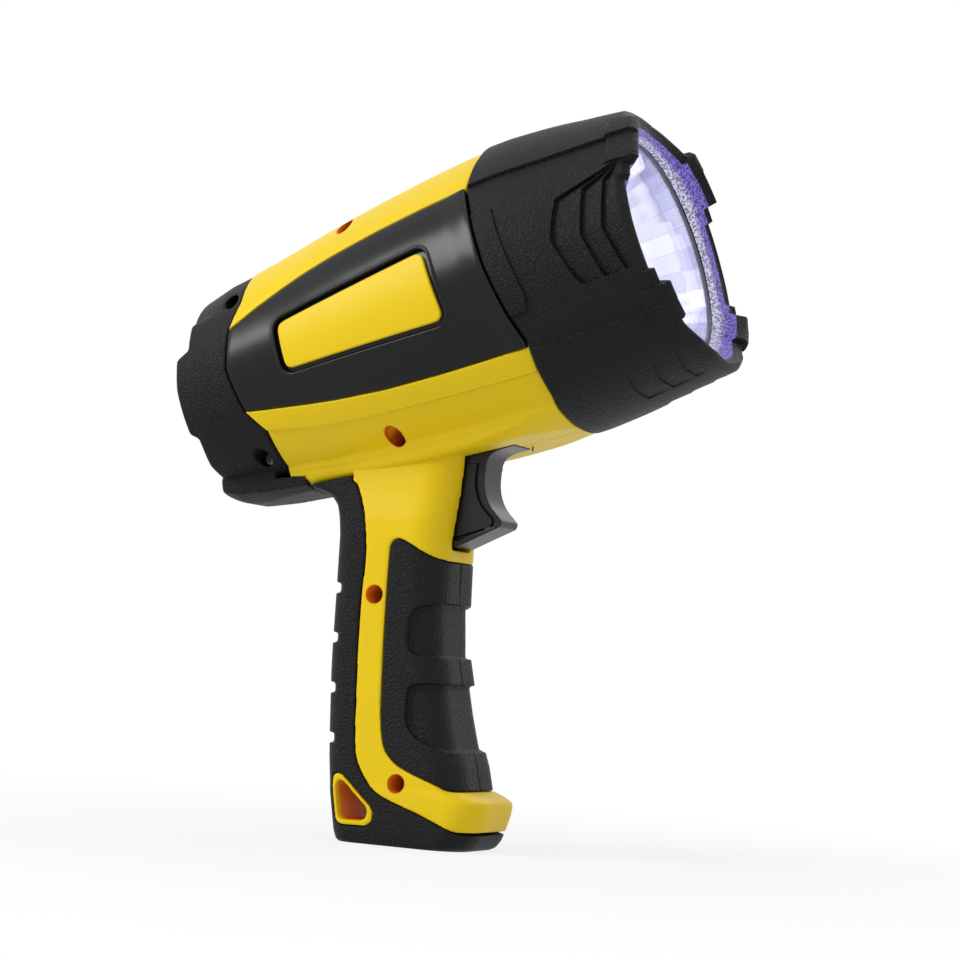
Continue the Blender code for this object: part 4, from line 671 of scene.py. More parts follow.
@dataclass(frozen=True)
class PebbledRubber(Finish):
    """Rubber with a moulded leather pebble."""

    cells: float = 780.0
    depth: float = 0.16

    def dress(self, make: Dresser) -> None:
        """Feed the shader's colour, roughness and relief."""
        self.grained(make)
        make.bumped(make.shared(Pebble(), cells=self.cells)["Height"], self.depth)


@dataclass(frozen=True)
class PaintedGlowRubber(PebbledRubber):
    """Pebbled rubber with a painted violet glow on its mouth round the lens, standing in for the lamp's
    light.
    """

    mouth: float = 0.0403
    rear: float = -0.0084
    speck_scale: float = 1250.0
    speck_range: tuple[float, float, float, float] = (0.4, 0.6, 0.28, 1.0)
    fade: Pair = (0.0356, 0.0382)
    # colours of the painted glow, from near the lens out to the rim
    near_lens: Triple = (0.74, 0.72, 1.0)
    near_rim: Triple = (0.24, 0.17, 0.7)
    unlit: Triple = (0.0, 0.0, 0.0)
    strength: float = 0.88

    def dress(self, make: Dresser) -> None:
        """Feed the shader's colour, roughness, relief and painted glow."""
        super().dress(make)
        where = make.shared(BarrelPlace())
        inside = make.math("LESS_THAN", where["Radius"], self.mouth)
        inside = make.math("MULTIPLY", inside, make.math("GREATER_THAN", where["Station"], self.rear))
        fine = make.add("TexNoise", {"Vector": make.place, "Scale": self.speck_scale, "Detail": 3.0})
        speck = make.mapped(fine.outputs["Fac"], *self.speck_range)
        # painted glow: violet emission on the mouth's wall, brightest near the lens, standing in for the
        # lamp's light
        violet = make.mixed(make.mapped(where["Radius"], *self.fade), self.near_lens, self.near_rim)
        glow = make.mixed(make.math("MULTIPLY", inside, speck), self.unlit, violet)
        make.feed(make.shader["Emission Color"], glow)
        make.feed(make.shader["Emission Strength"], self.strength)


@dataclass(frozen=True)
class MirrorCells(Finish):
    """A mirror coating with painted reflection and painted glow: each facet gets its own brightness, darker
    painted lines mark the facet edges, and a faint emission stands in for the lamp's light thrown back by the
    bowl.
    """

    sectors: int = 30
    ring: float = 0.0042
    line: Pair = (0.44, 0.49)
    # painted reflection: facet brightness from dim to bright, and painted shade on the lines between facets
    dim: Triple = (0.62, 0.62, 0.88)
    bright: Triple = (0.9, 0.9, 1.0)
    line_colour: Triple = (0.46, 0.45, 0.78)
    line_share: float = 0.35
    strength: float = 0.2

    def dress(self, make: Dresser) -> None:
        """Feed the shader's painted facet colour, roughness, relief and painted glow."""
        super().dress(make)
        where = make.shared(BarrelPlace())
        turn = make.math("MULTIPLY", where["Turn"], self.sectors / math.tau)
        out = make.math("DIVIDE", where["Radius"], self.ring)
        cell = make.add("CombineXYZ", {"X": make.math("FLOOR", turn), "Y": make.math("FLOOR", out)})
        noise = make.add("TexWhiteNoise", {"Vector": cell.outputs["Vector"]})
        edges = []
        for value in (turn, out):
            middle = make.math("ABSOLUTE", make.math("SUBTRACT", make.math("FRACT", value), 0.5))
            edges.append(make.mapped(middle, *self.line))
        edge = make.math("MULTIPLY", make.math("MAXIMUM", *edges), self.line_share)
        # painted reflection and painted shade, mixed per facet and along the facet edges
        lined = make.mixed(edge, make.mixed(noise.outputs["Value"], self.dim, self.bright), self.line_colour)
        make.feed(make.shader["Base Color"], lined)
        # painted glow: the same colour makes the bowl emit though it is no lamp
        make.feed(make.shader["Emission Color"], lined)
        make.feed(make.shader["Emission Strength"], self.strength)


@dataclass(frozen=True)
class MouldedYellow(Finish):
    """The casing's plastic, with painted shade: a deeper orange down its screw wells and through the lanyard
    eye, where shade falls.
    """

    wells: tuple[Pair, ...] = ()
    reach: float = 0.0033
    # painted shade colour for the insides of the screw wells and the lanyard eye
    deep: Triple = (0.86, 0.3, 0.012)
    eye: tuple[float, float, float, float] = (-0.0238, -0.0084, 0.0058, 0.0218)
    eye_half: float = 0.0165

    def dress(self, make: Dresser) -> None:
        """Feed the shader's colour, roughness and relief, with painted shade in the screw wells and the
        lanyard eye.
        """
        super().dress(make)
        x, y, z = make.add("SeparateXYZ", {0: make.place}).outputs
        # painted shade down the screw wells, on the right side where they open
        painted_shade_mask = 0.0
        for well_x, well_z in self.wells:
            dx, dz = make.math("SUBTRACT", x, well_x * MM), make.math("SUBTRACT", z, well_z * MM)
            square = make.math("ADD", make.math("MULTIPLY", dx, dx), make.math("MULTIPLY", dz, dz))
            near = make.math("LESS_THAN", make.math("SQRT", square), self.reach)
            painted_shade_mask = make.math("MAXIMUM", painted_shade_mask, near)
        painted_shade_mask = make.math("MULTIPLY", painted_shade_mask, make.math("LESS_THAN", y, -MM))
        # painted shade through the lanyard eye's hole
        left, right, low, high = self.eye
        hole = make.math("LESS_THAN", make.math("ABSOLUTE", y), self.eye_half)
        for axis, start, end in ((x, left, right), (z, low, high)):
            hole = make.math("MULTIPLY", hole, make.math("GREATER_THAN", axis, start))
            hole = make.math("MULTIPLY", hole, make.math("LESS_THAN", axis, end))
        plain = make.shader["Base Color"].links[0].from_socket
        make.feed(make.shader["Base Color"], make.mixed(make.math("MAXIMUM", painted_shade_mask, hole), plain, self.deep))


@dataclass(frozen=True)
class ClearPlastic(Finish):
    """Clear polished plastic."""

    bending: float = 1.25

    def dress(self, make: Dresser) -> None:
        """Feed the shader's colour and roughness, and let light through."""
        self.grained(make)
        make.feed(make.shader["Transmission Weight"], 1.0)
        make.feed(make.shader["IOR"], self.bending)


class Palette:
    """Every finish of the object by the record's material slot."""

    def __init__(self, wells: Sequence[Pair]) -> None:
        """List the finishes, given the side-view places of the casing's screw wells."""
        rubber = {
            "colour": (0.0065, 0.0065, 0.0074), "tint": (0.010, 0.010, 0.0115), "roughness": 0.44,
            "unevenness": 0.12, "specular": 0.15,
        }
        self.finishes = {
            # the casing's yellow, with painted shade in its screw wells and lanyard eye
            "casing_yellow": MouldedYellow(
                "yellow_casing", (0.86, 0.615, 0.006), (0.80, 0.545, 0.004), roughness=0.36, unevenness=0.1,
                relief=0.004, specular=0.2, wells=tuple(wells),
            ),
            "panel_gloss": Finish(
                "gloss_black_panel", (0.003, 0.003, 0.0038), (0.005, 0.005, 0.0065), roughness=0.19,
                unevenness=0.08, relief=0.001, specular=0.24,
            ),
            "grip_rubber": PebbledRubber("pebbled_rubber", **rubber),
            # the guard's rubber with a painted lamp glow on its mouth
            "lit_rubber": PaintedGlowRubber("rubber_with_painted_glow", **rubber),
            "dark_plastic": Finish(
                "satin_black", (0.010, 0.0105, 0.012), (0.008, 0.0085, 0.010), roughness=0.26,
                unevenness=0.12, relief=0.006, specular=0.26,
            ),
            "clear_lens": ClearPlastic(
                "clear_lens", (0.93, 0.94, 1.0), (0.9, 0.92, 1.0), roughness=0.03, unevenness=0.02,
            ),
            # the bowl's mirror, with painted reflection and painted glow
            "bowl_coating": MirrorCells(
                "mirror_coating", (0.83, 0.83, 0.98), (0.66, 0.64, 0.95), drift=0.8, roughness=0.18,
                metallic=1.0, relief=0.004,
            ),
            "board_white": Finish("white_board", (0.8, 0.8, 0.78), (0.7, 0.7, 0.66), roughness=0.5),
            "emitter": Finish("emitter_phosphor", (0.9, 0.82, 0.35), (0.95, 0.9, 0.6), roughness=0.25),
            "cast_aluminium": Finish(
                "cast_aluminium", (0.6, 0.61, 0.62), (0.5, 0.51, 0.53), roughness=0.4, metallic=1.0,
                grain=900.0, relief=0.03,
            ),
            "zinc_steel": Finish(
                "zinc_steel", (0.16, 0.16, 0.155), (0.12, 0.118, 0.11), roughness=0.36, metallic=1.0,
                grain=2500.0,
            ),
            "cell_wrap": Finish("cell_wrap", (0.04, 0.2, 0.45), (0.03, 0.14, 0.36), roughness=0.3, coat=0.4),
            "board_green": Finish(
                "green_board", (0.02, 0.18, 0.07), (0.03, 0.24, 0.09), roughness=0.4, grain=600.0,
                relief=0.03,
            ),
            "red_lens": Finish("red_lens", (0.5, 0.02, 0.015), (0.4, 0.012, 0.01), roughness=0.15, coat=0.6),
            "wire_cover": Finish("red_wire", (0.42, 0.02, 0.02), (0.34, 0.015, 0.015), roughness=0.45),
        }
        self.made: dict[str, Material] = {}

    def of(self, slot: str) -> Material:
        """The material of a slot."""
        if slot not in self.made:
            self.made[slot] = self.finishes[slot].material()
        return self.made[slot]


def finished(
    piece: Piece, palette: Palette, slot: str, body: str, nodes: Sequence[str], sharp: float = 35.0,
    finish: str | None = None,
) -> Piece:
    """Bring a piece to metres, dress it and tie it to the frame.

    Args:
        piece: the piece in millimetres.
        palette: the finishes.
        slot: the record's material slot.
        body: the CAD body that it rides on.
        nodes: the CAD nodes that it stands for.
        sharp: the angle in degrees past which an edge is shaded sharp.
        finish: the palette's finish, where it isn't the slot's own.

    Returns:
        The same piece.
    """
    pick(piece)
    piece.scale = (MM, MM, MM)
    bpy.ops.object.transform_apply(location=True, rotation=True, scale=True)
    bpy.ops.object.shade_smooth_by_angle(angle=math.radians(sharp))
    piece.data.name = piece.name
    piece.data.materials.clear()
    piece.data.materials.append(palette.of(finish or slot))
    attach(piece, body)
    if nodes:
        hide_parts(*nodes)
    log.info("%s: %d faces on %s", piece.name, len(piece.data.polygons), body)
    return piece


# The barrel's shape


@dataclass(frozen=True)
class Barrel:
    """Radii, joints and edges that the pieces of the barrel share."""

    body: Points = (
        (-160, 36), (-149, 37.4), (-135, 39.4), (-118, 42.2), (-105, 44.1), (-90, 46), (-75, 47.6),
        (-62, 48.7), (-48, 49.4), (-30, 49.6),
    )
    guard: Points = (
        (-64, 50.1), (-45, 50.2), (-33, 49.3), (-26, 48.5), (-20, 47.6), (-14, 46.9), (-8, 46.1),
        (-4, 45.5), (1, 44.9), (4, 44.2),
    )
    cap: Points = (
        (-138, 38.2), (-150, 37), (-158, 36.2), (-168, 35.2), (-172.5, 34.4), (-176, 33.6),
    )
    panel_top: Points = (
        (-160, 17), (-151.5, 21), (-145, 24), (-140, 26.5), (-130, 30), (-120, 32.5), (-110, 34),
        (-100, 34.8), (-90, 35.4), (-70, 36), (-50, 36),
    )
    panel_bottom: Points = (
        (-160, -21), (-152.5, -24), (-145, -26), (-130, -29.3), (-120, -31), (-110, -32), (-100, -33),
        (-80, -33.5), (-44, -33.5),
    )
    rear_joint: Points = (
        (90, -146), (55, -146.2), (38, -146.6), (35, -147), (21, -151.5), (0, -154.6), (-24, -152.5),
        (-36.5, -148.2), (-50, -149), (-65, -150), (-75, -151.5), (-90, -153),
    )
    front_joint: Points = (
        (90, -53), (55, -53.6), (36, -56), (20, -54.6), (0, -53), (-20, -50), (-33, -47.4), (-45, -48.7),
        (-55, -49), (-65, -50), (-90, -50.4),
    )

    crease: Points = ((-150, -66), (-132, -66.8), (-116, -65.4), (-88, -63.4), (-50, -61.6))
    rail_bottom: Points = (
        (-154, 39.7), (-148, 40.4), (-133, 42), (-118, 43.7), (-104, 45.2), (-90, 46.5), (-75, 47.7),
        (-50, 49.2),
    )
    rail_ledge: float = 0.8
    rail_slope: float = math.radians(20.0)
    rail_corner: float = 3.2
    rail_limit: Points = ((-154, 6), (-105, 5), (-85, 3.8), (-66, 2.4), (-56, 1.2), (-50, 0.4))
    mean_radius: float = 45.0

    def arc(self, length: float) -> float:
        """Degrees round the barrel that a small length takes up."""
        return math.degrees(length / self.mean_radius)

    def body_radius(self) -> Curve:
        """Radius of the casing by station."""
        return eased(self.body, 8)

    def rail_edge(self, station: np.ndarray) -> tuple[np.ndarray, np.ndarray]:
        """How far out and how far down the upper edge of the belly's rail lies, by station."""
        radius, turn = self.body_radius()(station), np.radians(-eased(self.crease, 12)(station))
        return radius * np.cos(turn) + self.rail_ledge, radius * np.sin(turn)

    def ridge(self, station: np.ndarray) -> np.ndarray:
        """Angle of the upper edge of the belly's rail by station."""
        out, down = self.rail_edge(station)
        return -np.degrees(np.arctan2(down, out))

    def belly(self, station: np.ndarray) -> np.ndarray:
        """Depth of the belly's flat bottom under the axis by station."""
        return eased(self.rail_bottom, 8)(station)

    def rail(self, station: np.ndarray, angle: np.ndarray) -> np.ndarray:
        """How far the belly's rail, with its sloping side and flat bottom, stands out of the round barrel."""
        out, down = self.rail_edge(station)
        reach = out * math.cos(self.rail_slope) + down * math.sin(self.rail_slope)
        below = np.radians(np.clip(-angle, 40, 90))
        side, flat = reach / np.cos(below - self.rail_slope), self.belly(station) / np.sin(below)
        share = np.clip(0.5 + 0.5 * (side - flat) / self.rail_corner, 0, 1)
        edge = side + (flat - side) * share - self.rail_corner * share * (1 - share)
        proud = np.clip(edge - self.body_radius()(station), 0, stepped(self.rail_limit)(station))
        return np.where(angle <= self.ridge(station) + 0.05, proud, 0)

    def above_belly(self) -> list[Pair]:
        """Side view of all that lies above the belly's flat bottom."""
        line = side_view([(s, -float(self.belly(s))) for s in np.arange(-152.0, -96, 4)])
        return [*line, (line[-1][0], 160), (line[0][0], 160)]

    def guard_radius(self) -> Curve:
        """Radius of the bezel guard by station."""
        return eased(self.guard, 5)

    def cap_radius(self) -> Curve:
        """Radius of the end cap by station."""
        return eased(self.cap, 5)

    def rear(self) -> Curve:
        """Station of the joint with the end cap by angle."""
        return stepped(self.rear_joint)

    def front(self) -> Curve:
        """Station of the joint with the bezel guard by angle."""
        return eased(self.front_joint, 4)


@dataclass(frozen=True)
class Guide:
    """A line along the barrel that a wrapped piece follows: its angle, its depth and rows to the next."""

    angle: Curve
    depth: float
    rows: int = 1


def rolled_ends(roll: float, wall: float, steps: int = 4) -> list[Pair]:
    """Inset and depth of the rows that carry a surface over its edge and down its wall."""
    turns = [math.pi / 2 * i / steps for i in range(steps + 1)]
    return [(0, wall), *((roll * (1 - math.cos(t)), roll * (1 - math.sin(t))) for t in turns)]


def wrapped(
    name: str, guides: Sequence[Guide], barrel: Barrel, columns: int, roll: float = 0.5, wall: float = 2.4,
    swell: Callable[[np.ndarray, np.ndarray], np.ndarray] | None = None,
) -> Piece:
    """A closed shell piece wrapped on the barrel between its two joints.

    Args:
        name: name of the piece.
        guides: lines that its rows follow, from one edge to the other.
        barrel: the barrel's shape.
        columns: number of columns between the joints.
        roll: radius of its edges.
        wall: its thickness.
        swell: how far its outside stands out of the barrel, by station and angle.

    Returns:
        The piece on the right side.
    """
    radius, rear, front = barrel.body_radius(), barrel.rear(), barrel.front()
    edge = rolled_ends(roll, wall)
    way = np.sign(float(guides[-1].angle(-100.0)) - float(guides[0].angle(-100.0)))
    rows = [(0, 0.0, inset, depth) for inset, depth in edge]
    last = len(guides) - 2
    for k, guide in enumerate(guides[:-1]):
        rows += [(k, i / guide.rows, roll, 0.0) for i in range(guide.rows)]
    rows = rows[: len(edge)] + rows[len(edge) + 1 :]
    rows += [(last, 1.0, inset, depth) for inset, depth in reversed(edge)]
    index = np.array([row[0] for row in rows])
    share, inset, drop = (np.array([row[i] for row in rows])[:, None] for i in (1, 2, 3))
    sides = [(0.0, a, d) for a, d in edge]
    sides += [(i / columns, roll, 0.0) for i in range(1, columns)]
    sides += [(1.0, a, d) for a, d in reversed(edge)]
    across, margin, fall = (np.array([side[i] for side in sides])[None] for i in (0, 1, 2))
    angle = np.zeros((len(rows), len(sides)))
    station = np.broadcast_to(-150 + 98 * across, angle.shape).copy()
    for _ in range(14):
        lines = [guide.angle(station) for guide in guides]
        shift = np.degrees(inset / radius(station)) * way
        for r, k in enumerate(index):
            low, high = lines[k][r], lines[k + 1][r]
            first, final = k == 0 and share[r, 0] == 0, k == last and share[r, 0] == 1
            angle[r] = low + share[r] * (high - low)
            angle[r] += shift[r] if first else (-shift[r] if final else 0)
        start, end = rear(angle), front(angle)
        wanted = start + margin + across * (end - start - 2 * margin)
        station = station + 0.7 * (wanted - station)
    base = np.array([guide.depth for guide in guides])
    base = (base[index] + share[:, 0] * (base[index + 1] - base[index]))[:, None]
    depth = np.minimum(base + np.maximum(drop, fall), wall)
    depth = np.where(np.maximum(drop, fall) >= wall, wall, depth)
    outside = radius(station) - depth
    if swell:
        outside = outside + np.where(depth < wall - 0.01, swell(station, angle), 0)
    top = on_barrel(station, outside, angle)
    under = on_barrel(station, radius(station) - wall, angle)
    return tidied(united(name, laid(name, top), laid(name + "_under", under)), 0.01)


# Sub-assemblies


@dataclass(frozen=True)
class Handle:
    """Sections of the handle: height, rear, front and half width."""

    sections: tuple[tuple[float, float, float, float], ...] = (
        (0, -22.9, 21.5, 18.0), (0.9, -23.7, 23.6, 18.7), (3.5, -24.5, 25.4, 19.1), (8, -25.2, 26.9, 19.4),
        (12, -25.9, 28, 19.5), (14.8, -26.4, 28.4, 19.5), (16.3, -26.7, 28.0, 19.4),
        (18.1, -26.9, 24.4, 19.2), (19.2, -27.1, 21.2, 19.0), (27, -28.1, 19.4, 18.8),
        (34, -28.7, 16.9, 18.6), (44, -29.3, 14.2, 18.5), (54.5, -29.9, 11.9, 18.4),
        (62, -30.1, 10.2, 18.4), (80, -30.2, 8.8, 18.4), (100, -30.4, 8.3, 18.4),
        (106, -31.2, 9, 18.1), (110, -32.5, 9.5, 17.4), (112.6, -34.8, 9.9, 16.9), (114.2, -38, 10.1, 16.6),
        (115.4, -43, 10.3, 16.4), (122, -55, 11, 15.6), (140, -55, 12, 15.2),
    )
    layer: float = 0.8
    rear_corner: float = 7.0
    front_corner: float = 11.0
    flare_from: float = 100.0
    palm_edge: Points = (
        (-27.6, 150), (-26, 121), (-24, 117.2), (-22.3, 114), (-20.9, 110.6), (-19.6, 107), (-18.3, 100),
        (-17.8, 92), (-18.3, 80), (-18.2, 65), (-17.9, 55), (-17.3, 43), (-16.6, 33), (-15.6, 27.5),
        (-13.6, 23.5), (-11, 20), (-8, 17.3), (-4.4, 15.4), (0.6, 13.7), (5.6, 12.1), (10.6, 10.3),
        (15, 8.6), (20, 6.7), (24, 5.9), (40, 5.7),
    )
    finger_edge: Points = (
        (-9.4, 90), (-9.2, 96.5), (-8.6, 98.4), (-7.2, 99.6), (-5.4, 99.6), (-2, 98.2), (1.5, 96.2),
        (5, 94.4), (8, 93.4), (40, 93.2), (40, 19.3), (20.5, 19.1), (18.5, 19.0), (16, 19.4),
        (13.5, 20.6), (9.6, 22), (4.6, 23.7), (-0.4, 25.8), (-3.4, 28), (-5.9, 31), (-7.2, 35), (-8.2, 42),
        (-8.7, 50), (-9.1, 62), (-9.4, 78),
    )
    eye: Points = (
        (-23.9, 19.6), (-23.4, 21.4), (-21.9, 22.2), (-20.1, 21.6), (-9, 12.2), (-8, 10.4), (-8.3, 7.6),
        (-10.2, 6), (-18.8, 5.7), (-20.7, 6.2), (-21.7, 7.6),
    )
    eye_share: float = 0.78

    def section(self, height: np.ndarray, inset: float, flared: bool) -> tuple[np.ndarray, ...]:
        """Rear, front and half width at a height, moved inwards by an inset."""
        table = np.array(self.sections)
        rear, front, wide = (np.interp(height, table[:, 0], table[:, i]) for i in (1, 2, 3))
        if not flared:
            straight = np.interp(self.flare_from, table[:, 0], table[:, 1])
            rear = np.where(height > self.flare_from, straight, rear)
        return rear + inset, front - inset, wide - inset

    def solid(self, name: str, inset: float, bottom: float, flared: bool = True, top: float = 140) -> Piece:
        """The handle lofted through its sections.

        Args:
            name: name of the piece.
            inset: how far its surface lies inside the handle's.
            bottom: height of its lower end.
            flared: whether the top runs back under the barrel.
            top: height of its upper end.

        Returns:
            The closed solid.
        """
        heights = np.unique(np.concatenate((np.arange(bottom, top, self.layer), [top], [bottom])))
        rear, front, wide = self.section(heights, inset, flared)
        turns = np.linspace(0, math.pi / 2, 9)
        rings = []
        for start, x_end, y_way, corner in (
            (math.pi, rear, -1, self.rear_corner), (1.5 * math.pi, front, -1, self.front_corner),
            (0, front, 1, self.front_corner), (0.5 * math.pi, rear, 1, self.rear_corner),
        ):
            size = corner - inset
            centre_x = x_end + size * (1 if x_end is rear else -1)
            centre_y = y_way * (wide - size)
            x = centre_x[:, None] + size * np.cos(start + turns)[None]
            y = centre_y[:, None] + size * np.sin(start + turns)[None]
            rings.append(np.stack((x, y, np.broadcast_to(heights[:, None], x.shape)), axis=-1))
        return laid(name, hooped(np.concatenate(rings, axis=1)))

    def palm_region(self) -> list[Pair]:
        """Side view of the palm strap and the foot."""
        return [*flowing(self.palm_edge), (40, -6), (-90, -6), (-90, 150)]

    def finger_region(self) -> list[Pair]:
        """Side view of the finger grip."""
        edge = list(self.finger_edge)
        upper, lower = flowing(edge[:9]), flowing([*edge[11:], edge[0]])
        return [*upper, edge[9], edge[10], *lower[:-1]]

    def eye_hole(self) -> list[Pair]:
        """Side view of the hole in the lanyard eye."""
        ring = np.array(self.eye)
        middle = ring.mean(axis=0)
        return [tuple(point) for point in middle + self.eye_share * (ring - middle)]


@dataclass
class Casing:
    """The yellow casing in two halves: two bands on the barrel, the neck and the wells of its screws."""

    barrel: Barrel
    handle: Handle
    wall: float = 2.4
    seam: float = 0.05
    shadow_line: Points = ((-150, -36), (-130, -41.5), (-110, -43), (-50, -44))
    channel_depth: float = 0.9
    groove_depth: float = 1.9
    bead_height: float = 0.3
    grip_thickness: float = 2.4
    foot: float = 6.2
    slot: Points = ((2, 97.3), (27.8, 97.3), (27.8, 150), (2, 150))
    slot_half: float = 7.3
    arm_slot: Points = ((20, 120), (27.8, 120), (27.8, 133.7), (32.4, 135.2), (32.4, 150), (20, 150))
    arm_slot_half: float = 3.9
    well_radius: float = 3.05
    well_wall: float = 1.5
    well_floor: float = -6.0
    screw_places: tuple[Pair, ...] = ((-13.55, 81), (-0.55, 20.3))
    barrel_screws: tuple[Pair, ...] = ((-106.6, 36.5), (-106.6, -36.5))
    columns: int = 110
    voxel: float = 0.5
    triangles: int = 130000

    def wells(self) -> list[Pair]:
        """Side-view places of the four screws."""
        return [*self.screw_places, *side_view(self.barrel_screws)]

    def bands(self) -> list[Piece]:
        """The two bands of the right half, wrapped on the barrel."""
        top, bottom = eased(self.barrel.panel_top), eased(self.barrel.panel_bottom)
        line, ridge = eased(self.shadow_line, 12), self.barrel.ridge
        seam, shift = 90 - self.barrel.arc(self.seam), self.barrel.arc(GAP)
        deep, groove, bead = self.channel_depth, self.groove_depth, self.bead_height
        upper = [Guide(lambda s: top(s) + shift, 0, 40), Guide(level(seam), 0)]
        lower = [
            Guide(lambda s: bottom(s) - shift, 0, 10), Guide(line, 0),
            Guide(lambda s: line(s) - 0.15, groove), Guide(lambda s: line(s) - 0.65, groove),
            Guide(lambda s: line(s) - 0.8, deep, 16),
            Guide(lambda s: ridge(s) + 1.3, deep * 0.6, 2), Guide(ridge, -bead),
            Guide(lambda s: ridge(s) - 0.7, -bead), Guide(lambda s: ridge(s) - 1.2, 0, 32),
            Guide(level(-seam), 0),
        ]
        return [
            wrapped("upper_band", upper, self.barrel, self.columns),
            wrapped("lower_band", lower, self.barrel, self.columns, swell=self.barrel.rail),
        ]

    def trigger_slot(self) -> Piece:
        """The room that the trigger works in."""
        half, narrow = self.slot_half, self.arm_slot_half
        slot = slab("trigger_slot", self.slot, half, -half)
        return fitted(slot, Fitting.ADD, slab("arm_slot", self.arm_slot, narrow, -narrow))

    def barrel_core(self, grow: float) -> Piece:
        """A solid of the barrel's shape, grown by a distance."""
        turns = np.linspace(0, 360, 240, endpoint=False)
        station, turn = np.meshgrid(np.arange(-156, -28, 4.0), turns, indexing="ij")
        reach = self.barrel.body_radius()(station) + self.barrel.rail(station, folded(turn)) + grow
        return laid("barrel_core", hooped(on_barrel(station, reach, turn)))

    def neck(self) -> Piece:
        """The handle's part of the casing, hollow, with the core that the grips wrap round."""
        handle, bottom = self.handle, self.foot + GAP
        neck = handle.solid("neck", 0, bottom)
        fitted(neck, Fitting.TAKE, through("palm", handle.palm_region()))
        fitted(neck, Fitting.TAKE, through("finger", handle.finger_region()))
        inset = self.grip_thickness + GAP
        fitted(neck, Fitting.ADD, handle.solid("core", inset, bottom, flared=False))
        rim = through("eye_rim", handle.eye)
        fitted(neck, Fitting.ADD, fitted(rim, Fitting.KEEP, handle.solid("eye_limit", -0.3, 0)))
        hollow = handle.solid("hollow", inset + self.wall, bottom + self.wall, flared=False)
        wall = through("eye_wall", handle.eye)
        for x, z in self.screw_places:
            fitted(hollow, Fitting.TAKE, post("boss", (x, z), self.well_radius + self.well_wall, 30, -30))
        fitted(hollow, Fitting.TAKE, wall)
        fitted(neck, Fitting.TAKE, hollow, self.barrel_core(-self.wall / 2), self.trigger_slot())
        fitted(neck, Fitting.TAKE, through("eye_hole", handle.eye_hole()))
        return softened(neck, self.voxel, 4)

    def half_of(self, neck: Piece, side: Side) -> Piece:
        """One half of the neck, cut cleanly so that the parting line stays thin."""
        half = copied(neck, "neck_half")
        sign = side.value
        with editing(half):
            bpy.ops.mesh.bisect(
                plane_co=(0, sign * self.seam, 0), plane_no=(0, -sign, 0), use_fill=True, clear_outer=True
            )
        if side is Side.RIGHT:
            for place in self.screw_places:
                fitted(half, Fitting.TAKE, post("well", place, self.well_radius, self.well_floor, -40))
        return thinned(half, self.triangles)

    def well(self, place: Pair, floor: float) -> Piece:
        """The hole down to a screw, from the right side to a floor."""
        return post("well", place, self.well_radius, floor, -AWAY)

    def barrel_wells(self) -> list[Piece]:
        """Tubes down to the barrel's two screws."""
        tubes = []
        for place in side_view(self.barrel_screws):
            tube = post("well_tube", place, self.well_radius + self.well_wall, self.well_floor + 2, -AWAY)
            fitted(tube, Fitting.KEEP, self.barrel_core(-self.wall / 2))
            fitted(tube, Fitting.TAKE, self.well(place, self.well_floor))
            tubes.append(tube)
        return tubes

    def build(self, palette: Palette) -> None:
        """Model both halves and dress them."""
        neck = self.neck()
        right = self.bands()
        left = [mirrored(band, band.name + "_left") for band in right]
        for band in right:
            for place in side_view(self.barrel_screws):
                fitted(band, Fitting.TAKE, self.well(place, 0))
        for bands in (right, left):
            fitted(bands[1], Fitting.TAKE, self.trigger_slot())
        right_half = united("casing_right", self.half_of(neck, Side.RIGHT), *right, *self.barrel_wells())
        left_half = united("casing_left", self.half_of(neck, Side.LEFT), *left)
        bpy.data.objects.remove(neck)
        finished(right_half, palette, "casing_yellow", "casing", ["housing_right"])
        finished(left_half, palette, "casing_yellow", "casing", ["housing_left"])


